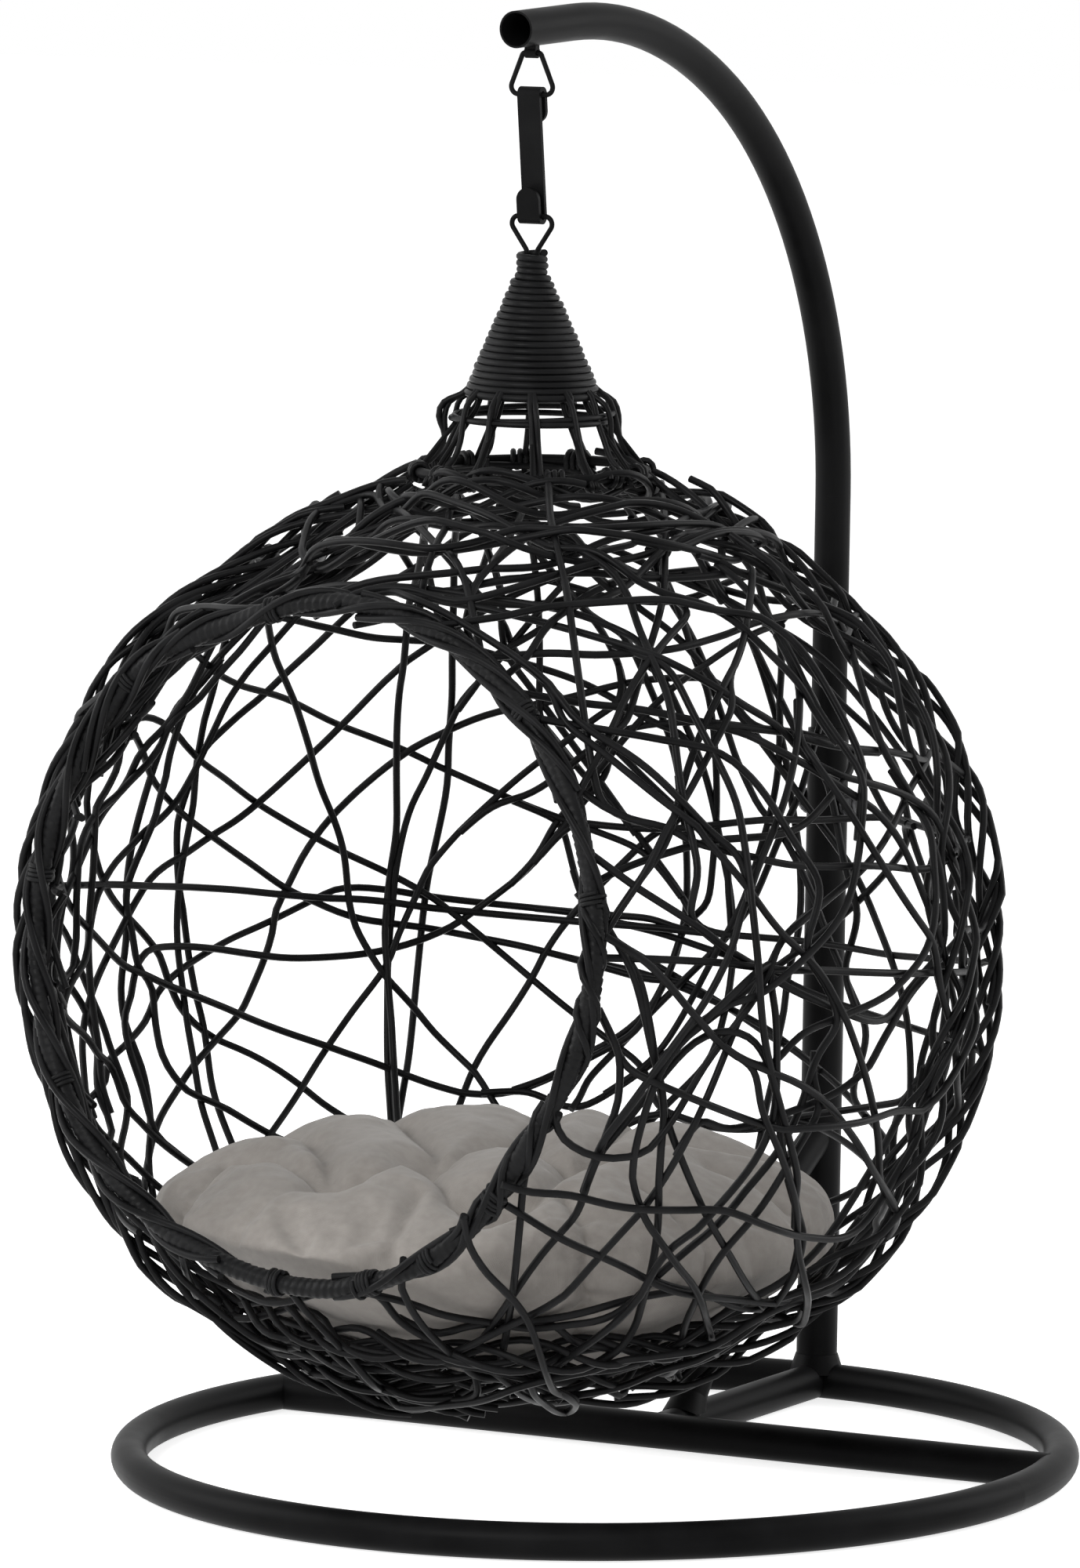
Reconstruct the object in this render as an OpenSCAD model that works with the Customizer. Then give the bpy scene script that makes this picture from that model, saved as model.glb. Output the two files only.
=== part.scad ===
// Hanging egg chair for a cat or a small dog.
// A tubular stand carries a curved arm, a flat-bar S-hook and a woven ball with a round cushion.
// Millimetres, +Z up, the opening faces -Y, the post stands at +Y.
// Origin: floor level, at the middle of the whole chair's footprint.

/* [Stand] */
// Diameter of the floor ring, measured on the tube's centreline
ring_d = 560; // [520:5:620]
// Outer diameter of the ring, crossbar, spine and arm tubes
tube_d = 22; // [20:0.5:23]
// Wall of every stand tube
tube_wall = 1.2; // [1:0.1:1.6]
// Distance of the crossbar behind the ring's centre
crossbar_back = 80; // [60:5:120]
// Outer diameter of the lower post
post_d = 25.4; // [25:0.1:28]
// Backward lean of the post in degrees
post_lean = 1.9; // [0.5:0.1:3]
// Length of the post from the ring's centreline to its mouth
post_len = 408; // [360:4:440]
// Outer diameter of the brace tube
brace_d = 20; // [16:0.5:21]
// Distance from the crossbar to the foot of the brace
brace_back = 30; // [24:2:50]
// Height of the brace's head above its foot
brace_rise = 156; // [130:2:190]
// Angle through which the brace bends
brace_turn = 29; // [10:1:40]
// Reach of the weld beads past the tubes
weld_leg = 4; // [2:0.5:6]

/* [Arm] */
// Length of arm that sits inside the post
arm_insert = 100; // [80:5:140]
// Straight length of arm above the post's mouth
arm_straight = 144.5; // [110:0.5:180]
// Radius of the arm's main bend
bend_1_r = 290; // [270:5:310]
// Angle of the arm's main bend
bend_1_turn = 61; // [55:1:65]
// Radius of the bend behind the arm's tip
bend_2_r = 350; // [300:10:380]
// Angle of the bend behind the arm's tip
bend_2_turn = 31.8; // [28:0.2:34]
// Straight length of the arm's tip
tip_len = 67; // [50:1:90]

/* [Arm bolt] */
// Thread diameter of the bolt that locks the arm in the post
bolt_d = 8; // [6:1:8]
// Distance of the bolt below the post's mouth
bolt_drop = 46; // [30:2:60]
// Width across the flats of the bolt head and the nut
bolt_flats = 13; // [11:0.5:14]
// Radial clearance of the bolt in its holes
bolt_clear = 0.3; // [0.2:0.1:0.5]

/* [Hanger] */
// Wire diameter of the two hanger links
wire_d = 3; // [2.6:0.1:3.2]
// Height of the upper link between its wire centres
link_h = 24.4; // [22:0.2:30]
// Slope of the upper link's legs from the vertical
upper_slope = 23; // [18:1:27]
// Slope of the lower link's legs from the vertical
lower_slope = 35; // [31:1:38]
// Half of the straight length of the lower link's base
lower_base = 9; // [8.6:0.1:10]
// Bend radius at the links' wide corners
link_bend = 4.5; // [4:0.1:5]
// Bend radius at the upper link's top corners
eye_bend = 2.4; // [2:0.1:3]
// Distance from the arm's end to the welded eye
eye_setback = 19; // [14:1:30]
// Length of the eye along its hole
eye_len = 7.6; // [6:0.2:9]
// Wall of the eye
eye_wall = 1.4; // [1:0.1:1.8]
// Height of the weld seat between the eye and the arm
eye_seat = 0.6; // [0.3:0.1:2]
// Radial clearance of the wire in the eye
eye_clear = 0.3; // [0.3:0.05:0.5]
// Width of the S-hook's flat bar
hook_w = 15; // [12:0.5:16.5]
// Thickness of the S-hook's flat bar
hook_t = 2.5; // [2:0.1:3]
// Distance between the two wires that the S-hook joins
hook_h = 71.4; // [60:0.2:90]
// Length of the hook's two tips past the wires
hook_tip = 17.5; // [14:0.5:22]
// Radial play of the wires in the hook's bends
hook_play = 0.7; // [0.7:0.05:1]

/* [Crown] */
// Diameter of the strand wound round the cone
wrap_d = 4; // [3.9:0.05:4.2]
// Pitch of the cone's winding
wrap_pitch = 3.8; // [3.6:0.05:3.8]
// Outer radius of the winding at the cone's top
cone_top_r = 9.2; // [9:0.1:10]
// Outer radius of the winding at the cone's foot
cone_foot_r = 40.8; // [36:0.2:46]
// Height of the sloping part of the cone
cone_h = 72; // [66:1:82]
// Number of steel rods that spread from the cone
crown_rods = 12; // [8:1:14]
// Diameter of the crown rods
rod_d = 3; // [2.5:0.1:3.4]
// Distance from the cone's foot down to the crown hoop
neck_h = 44.5; // [40:0.5:50]
// Radius of the crown hoop
crown_hoop_r = 67; // [62:1:74]
// Thickness of the crown hoop
crown_hoop_d = 6; // [5:0.5:7]

/* [Basket] */
// Diameter of the round wicker strands
strand_d = 4; // [3.5:0.1:4.5]
// Clearance between crossing strands
strand_gap = 0.3; // [0.2:0.05:0.5]
// Radius of the ball, centre to the rim's centreline
ball_r = 283; // [270:1:295]
// Distance of the ball's centre in front of the hanging axis
ball_forward = 26.5; // [15:0.5:35]
// Radius of the entrance rim
rim_r = 197; // [180:1:205]
// Upward tilt of the entrance in degrees
rim_tilt = 5.4; // [0:0.2:9]
// Sideways turn of the entrance in degrees
rim_turn = 4; // [0:0.5:8]
// Diameter of the rim's steel hoop
rim_core_d = 9.5; // [8:0.5:10.5]
// Thickness of the flat wicker wound round the rim
rim_wrap_t = 2; // [1.5:0.1:2.5]
// Strands in each of the five weave layers
weave_strands = 14; // [14:1:16]
// Number of hoops that make the frame's ribs
rib_hoops = 5; // [4:1:7]
// Height of the belt hoop relative to the ball's centre
belt_z = -12; // [-30:1:10]
// Polar angle of the floor hoop from the ball's lowest point
floor_hoop_angle = 46; // [42:0.5:47]

/* [Cushion] */
// How far the cushion reaches past the middle of the floor hoop
cushion_over = 5; // [0:0.5:8]
// Radius of the cushion's rounded edge, half its thickness
cushion_edge_r = 42; // [36:1:46]
// Thickness of the cushion's cover
cover_t = 1.5; // [1:0.1:2]
// Clearance between the cushion and the ribs
cushion_gap = 0.4; // [0.3:0.1:1]

/* [Hidden] */
$fn = 48;

tube_r = tube_d / 2;
ring_r = ring_d / 2;
fit_gap = 0.3;

// Finishes
powder_black = [0.10, 0.10, 0.105];
wicker_black = [0.07, 0.07, 0.075];
wrap_black = [0.13, 0.13, 0.135];
zinc = [0.62, 0.63, 0.65];
cloth_grey = [0.55, 0.53, 0.51];
fill_white = [0.9, 0.9, 0.88];

// Arm: the heading turns from the post's lean through the two bends, measured from +Z towards -Y
head_0 = -post_lean;
head_1 = head_0 + bend_1_turn;
head_2 = head_1 + bend_2_turn;
arm_from = post_len - arm_insert;
arm_rise = post_len + arm_straight;
bend_1_y = ring_r + arm_rise * sin(post_lean);
bend_1_z = tube_r + arm_rise * cos(post_lean);
bend_2_y = bend_1_y + bend_1_r * (cos(head_1) - cos(head_0));
bend_2_z = bend_1_z + bend_1_r * (sin(head_1) - sin(head_0));
tip_y = bend_2_y + bend_2_r * (cos(head_2) - cos(head_1));
tip_z = bend_2_z + bend_2_r * (sin(head_2) - sin(head_1));
arm_end_y = tip_y - tip_len * sin(head_2);
arm_end_z = tip_z + tip_len * cos(head_2);

// Hanging axis: the eye's hole under the arm's tip
hang_y = arm_end_y + eye_setback * sin(head_2);
arm_low_z = arm_end_z - eye_setback * cos(head_2) - tube_r;
eye_hole_r = wire_d / 2 + eye_clear;
eye_z = arm_low_z - eye_seat - eye_wall - eye_hole_r;
link_base_z = eye_z - link_h;
hook_base_z = link_base_z - hook_h;

// Upper link: half lengths of its straight top and base, and the length of its legs
upper_leg = (link_h - link_bend * (1 + sin(upper_slope)) - eye_bend * (1 - sin(upper_slope)))
  / cos(upper_slope);
upper_top = eye_len / 2 + 0.5;
upper_base = upper_top + upper_leg * sin(upper_slope) - (link_bend - eye_bend) * cos(upper_slope);

// Cone: centreline of the winding, top down; the lower link's legs stand just inside it
wrap_top_r = cone_top_r - wrap_d / 2;
wrap_foot_r = cone_foot_r - wrap_d / 2;
leg_x = wrap_top_r - wrap_d / 2 - wire_d / 2 - 0.25;
lower_leg = (lower_base + link_bend * (2 * cos(lower_slope) - 1) - leg_x) / sin(lower_slope);
wrap_top_z = hook_base_z - link_bend * (1 + 2 * sin(lower_slope)) - lower_leg * cos(lower_slope);
collar_turns = 3;
cone_top_z = wrap_top_z - collar_turns * wrap_pitch;
cone_foot_z = cone_top_z - cone_h;
cone_slope = atan((wrap_foot_r - wrap_top_r) / cone_h);
cone_len = cone_h / cos(cone_slope);
cone_turns = floor(cone_len / wrap_pitch);
wrap_last_z = cone_top_z - cone_turns * wrap_pitch * cos(cone_slope);
wrap_band = wrap_d / 2;
function wrap_r(z) = wrap_top_r + (cone_top_z - z) * tan(cone_slope);
boss_h = 18;
boss_foot_z = cone_top_z - boss_h;
rod_line = (wrap_d + rod_d) / 2 + fit_gap;
function rod_r(z) = wrap_r(z) - rod_line / cos(cone_slope);

// Weave layers: direction of each layer's hub, and the roll of its line
HUBS = [[70, 8, 20], [200, 30, 75], [-20, 35, 130], [130, -25, 100], [20, -15, 40]];
hub_reach = 2;
// Angle at the ball's centre over which the strands of a layer pass, opposite the hub
weave_span = 360 - 2 * acos(1 / hub_reach);

// Ball
crown_z = cone_foot_z - neck_h;
ball_y = hang_y - ball_forward;
ball_z = crown_z - sqrt(ball_r * ball_r - crown_hoop_r * crown_hoop_r);
layer_step = strand_d + strand_gap;
rib_r = ball_r - 4.2 * layer_step;
ring_layer_r = rib_r + layer_step;
weave_r = [for (k = [0:len(HUBS) - 1]) ring_layer_r + (k + 1) * layer_step];
rim_tube_r = rim_core_d / 2 + rim_wrap_t;
rim_angle = asin(rim_r / ball_r);
rim_n = [-sin(rim_turn) * cos(rim_tilt), -cos(rim_turn) * cos(rim_tilt), sin(rim_tilt)];
rim_dist = sqrt(ball_r * ball_r - rim_r * rim_r);
mouth_angle = rim_angle + (rim_tube_r + strand_d / 2 + fit_gap) / ball_r * 180 / PI;
crown_angle = asin(crown_hoop_r / ball_r)
  + (crown_hoop_d / 2 + strand_d / 2 + fit_gap) / ball_r * 180 / PI;
floor_hoop_r = weave_r[0] - strand_d / 2 - crown_hoop_d / 2 - strand_gap;
floor_angle = floor_hoop_angle + (crown_hoop_d / 2 + strand_d / 2 + fit_gap) / ball_r * 180 / PI;

// Middle of the footprint along Y, from the rim's front to the arm's back
front_y = ball_y + rim_dist * rim_n[1] - rim_r * sqrt(1 - rim_n[1] * rim_n[1]) - rim_tube_r;
back_y = bend_1_y + bend_1_r * (1 - cos(head_0)) + tube_r;
mid_y = (front_y + back_y) / 2;

// Cushion
cushion_r = floor_hoop_r * sin(floor_hoop_angle) + cushion_over;
seat_r = rib_r - strand_d / 2 - cushion_gap;
cushion_level = sqrt(seat_r * seat_r - cushion_r * cushion_r);
cushion_z = ball_z - cushion_level;

module in_place() { translate([0, -mid_y, 0]) children(); }
module at_ball() { in_place() translate([0, ball_y, ball_z]) children(); }
module at_hang(z) { in_place() translate([0, hang_y, z]) children(); }

// A straight bar between two points
module bar(a, b, d) {
  v = b - a;
  translate(a) rotate([0, acos(v[2] / norm(v)), atan2(v[1], v[0])]) cylinder(h = norm(v), d = d);
}

// The ring's tube as a solid, for the ring itself and for coping what is welded to it
module ring_solid(d) {
  translate([0, 0, tube_r]) rotate_extrude($fn = 128) translate([ring_r, 0]) circle(d = d);
}

module on_post(s) {
  translate([0, ring_r, tube_r]) rotate([-post_lean, 0, 0]) translate([0, 0, s]) children();
}

module base_ring() {
  color(powder_black) in_place() difference() {
    ring_solid(tube_d);
    ring_solid(tube_d - 2 * tube_wall);
  }
}

module crossbar_rod(d) {
  half = sqrt(ring_r * ring_r - crossbar_back * crossbar_back) - 2;
  translate([-half, crossbar_back, tube_r]) rotate([0, 90, 0]) cylinder(h = 2 * half, d = d);
}

module crossbar() {
  color(powder_black) in_place() difference() {
    crossbar_rod(tube_d);
    crossbar_rod(tube_d - 2 * tube_wall);
    ring_solid(tube_d);
  }
}

module spine_rod(d) {
  translate([0, crossbar_back + 2, tube_r]) rotate([-90, 0, 0])
    cylinder(h = ring_r - crossbar_back - 4, d = d);
}

module base_spine() {
  color(powder_black) in_place() difference() {
    spine_rod(tube_d);
    spine_rod(tube_d - 2 * tube_wall);
    ring_solid(tube_d);
    crossbar_rod(tube_d);
  }
}

// The brace is one arc from the spine up to the post's axis, steep at its foot
brace_foot = [crossbar_back + brace_back, tube_r + 3];
brace_head_z = tube_r + brace_rise;
brace_head = [ring_r + brace_rise * tan(post_lean), brace_head_z];
brace_chord = brace_head - brace_foot;
brace_bend_r = norm(brace_chord) / 2 / sin(brace_turn / 2);
brace_dir = atan2(brace_chord[0], brace_chord[1]) - brace_turn / 2;

module brace_solid(d) {
  translate([0, brace_foot[0], brace_foot[1]]) rotate([-brace_dir, 0, 0])
    rotate([0, 0, 180]) arc(brace_bend_r, brace_turn, d);
}

module brace_tube() {
  color(powder_black) in_place() difference() {
    brace_solid(brace_d);
    brace_solid(brace_d - 2 * tube_wall);
    spine_rod(tube_d);
    on_post(0) cylinder(h = post_len, d = post_d);
  }
}

post_from = tube_r - 2;

module lower_post() {
  color(powder_black) in_place() difference() {
    on_post(post_from) cylinder(h = post_len - post_from, d = post_d);
    on_post(post_from - 1) cylinder(h = post_len, d = post_d - 2 * tube_wall);
    on_post(post_len - bolt_drop) bolt_hole();
    ring_solid(tube_d);
    spine_rod(tube_d);
  }
}

// Fillets: a coned bead round the foot of the post, and short beads at the other joints
module post_bead() {
  difference() {
    on_post(post_from - weld_leg) cylinder(h = weld_leg * 3, d1 = post_d + weld_leg * 2.2, d2 = post_d + 1);
    on_post(post_from) cylinder(h = post_len, d = post_d);
    ring_solid(tube_d);
    spine_rod(tube_d);
  }
}

module brace_bead() {
  difference() {
    translate([0, brace_foot[0], brace_foot[1]]) rotate([-brace_dir, 0, 0])
      cylinder(h = tube_r + weld_leg, d1 = brace_d + weld_leg * 2, d2 = brace_d + 1);
    brace_solid(brace_d);
    translate([0, brace_foot[0], brace_foot[1]]) rotate([-brace_dir, 0, 0])
      translate([0, 0, -1]) cylinder(h = 2, d = brace_d);
    translate([-tube_d, 0, 0]) cube([2 * tube_d, ring_r, tube_d - weld_leg]);
    spine_rod(tube_d);
  }
}

module weld_beads() {
  color(powder_black) in_place() {
    post_bead();
    brace_bead();
  }
}

// Tube and wire are drawn as a chain of straights and bends that turn from +Z towards -Y.
// With a wall they are hollow. On solid wire each joint has a hair-thin bead that fuses its lengths.
join_gap = 0.01;
bead = 0.06;

module join(d, wall) { if (wall == 0) sphere(d = d + bead); }

module straight(len, d, wall = 0, from = join_gap, to = join_gap) {
  difference() {
    translate([0, 0, from]) cylinder(h = len - from - to, d = d);
    if (wall > 0) translate([0, 0, -1]) cylinder(h = len + 2, d = d - 2 * wall);
  }
  translate([0, 0, len]) children();
}

module arc(r, turn, d) {
  translate([0, -r, 0]) rotate([90, 0, 90]) rotate_extrude(angle = turn, $fn = 160)
    translate([r, 0]) circle(d = d);
}

module bend(r, turn, d, wall = 0) {
  join(d, wall);
  difference() {
    arc(r, turn, d);
    if (wall > 0) arc(r, turn, d - 2 * wall);
  }
  translate([0, -r, 0]) rotate([turn, 0, 0]) translate([0, r, wall > 0 ? join_gap : 0]) {
    join(d, wall);
    children();
  }
}

module bolt_hole() {
  translate([-post_d, 0, 0]) rotate([0, 90, 0]) cylinder(h = 2 * post_d, r = bolt_d / 2 + bolt_clear);
}

module arm_tube() {
  color(powder_black) in_place() {
    difference() {
      on_post(arm_from) straight(arm_rise - arm_from, tube_d, tube_wall);
      on_post(post_len - bolt_drop) bolt_hole();
    }
    on_post(arm_rise) bend(bend_1_r, bend_1_turn, tube_d, tube_wall)
      bend(bend_2_r, bend_2_turn, tube_d, tube_wall)
        straight(tip_len, tube_d, tube_wall);
  }
}

// Bolt along X through post and arm: domed head at -X, domed nut at +X
washer_t = 1.6;
washer_d = bolt_flats + 3;
head_h = 5.5;
bolt_seat = post_d / 2 + fit_gap / 6;
nut_h = 7;

module along_bolt(x) {
  in_place() on_post(post_len - bolt_drop) translate([x, 0, 0]) rotate([0, 90, 0]) children();
}

module hex(h) { cylinder(h = h, d = bolt_flats / cos(30), $fn = 6); }

module arm_bolt() {
  color(zinc) {
    along_bolt(-bolt_seat - washer_t - head_h) intersection() {
      hex(head_h);
      translate([0, 0, bolt_flats * 0.62]) sphere(r = bolt_flats * 0.62);
    }
    along_bolt(-bolt_seat - washer_t) cylinder(h = 2 * (bolt_seat + washer_t) + nut_h - 2, d = bolt_d);
  }
}

module bolt_washers() {
  color(zinc) for (x = [-bolt_seat - washer_t, bolt_seat])
    along_bolt(x) difference() {
      cylinder(h = washer_t, d = washer_d);
      translate([0, 0, -1]) cylinder(h = washer_t + 2, d = bolt_d + 0.6);
    }
}

module cap_nut() {
  color(zinc) along_bolt(bolt_seat + washer_t) difference() {
    union() {
      hex(nut_h - 1);
      intersection() {
        cylinder(h = nut_h + 4, d = bolt_flats - 1);
        translate([0, 0, nut_h - bolt_flats * 0.34]) sphere(r = bolt_flats * 0.58);
      }
    }
    translate([0, 0, -1]) cylinder(h = nut_h, d = bolt_d + 0.1);
  }
}

// Eye welded under the arm's tip; its hole along X holds the upper link
module along_eye(x) { at_hang(eye_z) translate([x, 0, 0]) rotate([0, 90, 0]) children(); }

module hanger_eye() {
  eye_r = eye_hole_r + eye_wall;
  color(powder_black) difference() {
    union() {
      along_eye(-eye_len / 2) cylinder(h = eye_len, r = eye_r);
      at_hang(eye_z) translate([-eye_len / 2, -eye_r * 0.7, 0]) cube([eye_len, eye_r * 1.4, eye_r + eye_seat + 1]);
    }
    along_eye(-eye_len) cylinder(h = 2 * eye_len, r = eye_hole_r);
    in_place() translate([0, tip_y, tip_z]) rotate([head_2, 0, 0]) cylinder(h = tip_len, d = tube_d);
  }
}

// Both links are two mirrored halves in the XZ plane, each starting at the middle of its base
module link_half(side) { mirror([side, 0, 0]) rotate([0, 90, 0]) rotate([0, 0, -90]) children(); }

module upper_link() {
  color(powder_black) at_hang(link_base_z) for (side = [0, 1])
    link_half(side) straight(upper_base, wire_d, from = 0) bend(link_bend, 90 + upper_slope, wire_d)
      straight(upper_leg, wire_d) bend(eye_bend, 90 - upper_slope, wire_d)
        straight(upper_top, wire_d, to = 0);
}

module lower_link() {
  color(powder_black) at_hang(hook_base_z) mirror([0, 0, 1]) for (side = [0, 1])
    link_half(side) straight(lower_base, wire_d, from = 0) bend(link_bend, 90 + lower_slope, wire_d)
      straight(lower_leg, wire_d) rotate([0, 0, 180]) bend(link_bend, lower_slope, wire_d)
        straight(wrap_top_z - boss_foot_z, wire_d);
}

// S-hook: the bar runs between the two wires, over the upper one and under the lower one
hook_in = wire_d / 2 + hook_play;
hook_mid = hook_in + hook_t / 2;
hook_lean = asin(2 * hook_mid / hook_h);
hook_run = hook_h * cos(hook_lean);

// Side view of one end, with the wire at the origin: the bend and its tip
module hook_end() {
  hook_out = hook_in + hook_t;
  intersection() {
    difference() {
      circle(r = hook_out);
      circle(r = hook_in);
    }
    translate([-hook_out - 1, 0]) square([2 * hook_out + 2, hook_out + 1]);
  }
  translate([hook_in, -hook_tip]) square([hook_t, hook_tip]);
}

module hook_side() {
  hook_end();
  translate([-hook_in - hook_t, -hook_run]) square([hook_t, hook_run]);
  translate([-2 * hook_mid, -hook_run]) rotate(180) hook_end();
}

// What rounds one tip, seen from the front
module tip_corners() {
  translate([0, hook_in - 0.5, -hook_tip]) difference() {
    translate([-hook_w, 0, -1]) cube([2 * hook_w, hook_t + 1, 1 + hook_w / 2]);
    translate([0, -1, hook_w / 2]) rotate([-90, 0, 0]) cylinder(h = hook_t + 3, d = hook_w);
  }
}

module s_hook() {
  color(powder_black) at_hang(link_base_z) rotate([hook_lean, 0, 0]) difference() {
    rotate([90, 0, 90]) translate([0, 0, -hook_w / 2]) linear_extrude(hook_w) hook_side();
    tip_corners();
    translate([0, -2 * hook_mid, -hook_run]) rotate([180, 0, 0]) tip_corners();
  }
}

// Steel boss in the cone's top: the lower triangle's legs are fixed in it and the rods start below it
module crown_boss() {
  color(powder_black) at_hang(0) difference() {
    translate([0, 0, boss_foot_z]) cylinder(
      h = boss_h, r1 = wrap_r(boss_foot_z) - (wrap_d / 2 + fit_gap) / cos(cone_slope),
      r2 = wrap_top_r - (wrap_d / 2 + fit_gap) / cos(cone_slope));
    for (side = [-1, 1]) translate([side * leg_x, 0, boss_foot_z - 1]) cylinder(h = boss_h + 2, d = wire_d);
  }
}

module cone_wrap() {
  color(wicker_black) at_hang(0) rotate_extrude($fn = 96) {
    for (i = [1:collar_turns]) translate([wrap_top_r, cone_top_z + i * wrap_pitch]) circle(d = wrap_d);
    for (i = [0:cone_turns])
      translate([wrap_top_r, cone_top_z] + i * wrap_pitch * [sin(cone_slope), -cos(cone_slope)])
        circle(d = wrap_d);
    // The turns are pressed together along this band
    polygon([
      for (side = [1, -1], z = side > 0 ? [wrap_top_z, cone_top_z, wrap_last_z] : [wrap_last_z, cone_top_z, wrap_top_z])
        [wrap_r(min(z, cone_top_z)) + side * wrap_band / 2, z]
    ]);
  }
}

rod_top_z = boss_foot_z - rod_d / 2 * sin(cone_slope) - fit_gap;
neck_top_z = cone_foot_z - 7;

module round_crown(count, shift) {
  for (i = [0:count - 1]) rotate([0, 0, (i + shift) * 360 / count]) children();
}

knee_bend = 16;
knee_r = rod_r(neck_top_z);
knee_run = [crown_hoop_r - knee_r, neck_top_z - crown_z];
// The knee turns the rod outwards, towards the hoop's centreline
rod_run = (rod_top_z - neck_top_z) / cos(cone_slope);
knee_turn = atan2(knee_run[0], knee_run[1]) - cone_slope;
last_run = norm(knee_run) - knee_bend * tan(knee_turn / 2);

module crown_rods() {
  color(powder_black) at_hang(0) difference() {
    round_crown(crown_rods, 0) translate([rod_r(rod_top_z), 0, rod_top_z])
      rotate([0, 180 - cone_slope, 0]) rotate([0, 0, -90])
        straight(rod_run - knee_bend * tan(knee_turn / 2), rod_d)
          bend(knee_bend, knee_turn, rod_d) straight(last_run, rod_d);
    crown_hoop_solid();
  }
}

loop_z = cone_foot_z - wrap_d / 2 - strand_d / 2 - fit_gap;
loop_out_r = cone_foot_r + 11;

module neck_loops() {
  color(wicker_black) at_hang(0) difference() {
    round_crown(crown_rods, 0.5) {
      bar([wrap_foot_r - 2, 0, loop_z], [loop_out_r, 0, loop_z - 2], strand_d);
      translate([loop_out_r, 0, loop_z - 2]) sphere(d = strand_d);
      bar([loop_out_r, 0, loop_z - 2], [crown_hoop_r, 0, crown_z], strand_d);
    }
    crown_hoop_solid();
  }
}

// A strand ring that leans against the inside of the loops
module neck_ring() {
  run = [crown_hoop_r - loop_out_r, crown_z - loop_z + 2];
  inward = [run[1], -run[0]] / norm(run);
  spot = [loop_out_r, loop_z - 2] + run * 0.3 + inward * (strand_d + fit_gap);
  color(wicker_black) at_hang(0) rotate_extrude($fn = 96) translate(spot) circle(d = strand_d);
}

module crown_hoop_solid() {
  translate([0, 0, crown_z]) rotate_extrude($fn = 96) translate([crown_hoop_r, 0]) circle(d = crown_hoop_d);
}

module crown_hoop() { color(powder_black) at_hang(0) crown_hoop_solid(); }

module at_rim() {
  at_ball() translate(rim_dist * rim_n) rotate([0, 90 - rim_tilt, -90 - rim_turn]) children();
}

module rim_hoop() {
  color(powder_black) at_rim() rotate_extrude($fn = 128) translate([rim_r, 0]) circle(d = rim_core_d);
}

module rim_wrap() {
  color(wrap_black) at_rim() rotate_extrude($fn = 128) translate([rim_r, 0]) difference() {
    circle(r = rim_tube_r);
    circle(d = rim_core_d + fit_gap);
  }
}

// Strands lie on spheres about the ball's centre, each on its own circle.
// tilt and turn give the circle's axis, h its distance from the centre.
// Strands stop at the entrance rim, at the crown hoop and, for ribs, at the floor hoop.
// The crown hoop hangs on the cone's axis, which lies behind the ball's centre.
crown_n = [0, ball_forward, crown_z - ball_z] / norm([0, ball_forward, crown_z - ball_z]);
MOUTH = [rim_n, mouth_angle];
CROWN = [crown_n, crown_angle];
FLOOR = [[0, 0, -1], floor_angle];

function axis_1(tilt, turn) = [cos(tilt) * cos(turn), cos(tilt) * sin(turn), -sin(tilt)];
function axis_2(turn) = [-sin(turn), cos(turn), 0];
function axis_3(tilt, turn) = [sin(tilt) * cos(turn), sin(tilt) * sin(turn), cos(tilt)];

// Cosine limit of one cap on a circle: beyond 1 the circle misses the cap
function cap_limit(cap, r, h, tilt, turn) =
  let (across = cap[0] * axis_1(tilt, turn), along = cap[0] * axis_2(turn), rho = sqrt(r * r - h * h))
  (r * cos(cap[1]) - h * (cap[0] * axis_3(tilt, turn))) / (rho * norm([across, along]) + 0.000001);
function cap_middle(cap, tilt, turn) =
  (atan2(cap[0] * axis_2(turn), cap[0] * axis_1(tilt, turn)) + 360) % 360;

function cap_ends(caps, r, h, tilt, turn) = [
  for (cap = caps)
    let (limit = cap_limit(cap, r, h, tilt, turn), middle = cap_middle(cap, tilt, turn))
    if (abs(limit) < 1) each [(middle - acos(limit) + 360) % 360, (middle + acos(limit)) % 360]];

function is_free(angle, caps, r, h, tilt, turn) = len([
  for (cap = caps)
    if (cos(angle - cap_middle(cap, tilt, turn)) > cap_limit(cap, r, h, tilt, turn)) 1]) == 0;

function sorted(v) = len(v) <= 1 ? v : let (p = v[0])
  concat(sorted([for (x = v) if (x < p) x]), [for (x = v) if (x == p) x], sorted([for (x = v) if (x > p) x]));

shortest_arc = 12;

module strand(r, h, tilt, turn, caps, d) {
  ends = sorted(cap_ends(caps, r, h, tilt, turn));
  count = len(ends);
  rotate([0, tilt, turn]) translate([0, 0, h]) {
    if (count == 0 && is_free(0, caps, r, h, tilt, turn))
      rotate_extrude($fn = 96) translate([sqrt(r * r - h * h), 0]) circle(d = d, $fn = 16);
    if (count > 0) for (i = [0:count - 1]) {
      from = ends[i];
      to = i == count - 1 ? ends[0] + 360 : ends[i + 1];
      if (to - from > shortest_arc && is_free((from + to) / 2, caps, r, h, tilt, turn))
        rotate([0, 0, from]) rotate_extrude(angle = to - from, $fn = 96)
          translate([sqrt(r * r - h * h), 0]) circle(d = d, $fn = 16);
    }
  }
}

// A layer: planes through one line outside the ball, so its strands never cross each other

function hub_dir(hub) = [cos(hub[1]) * cos(hub[0]), cos(hub[1]) * sin(hub[0]), sin(hub[1])];
function hub_side(hub) = let (q = hub_dir(hub), s = [-sin(hub[0]), cos(hub[0]), 0], u = cross(q, s))
  s * cos(hub[2]) + u * sin(hub[2]);

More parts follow.
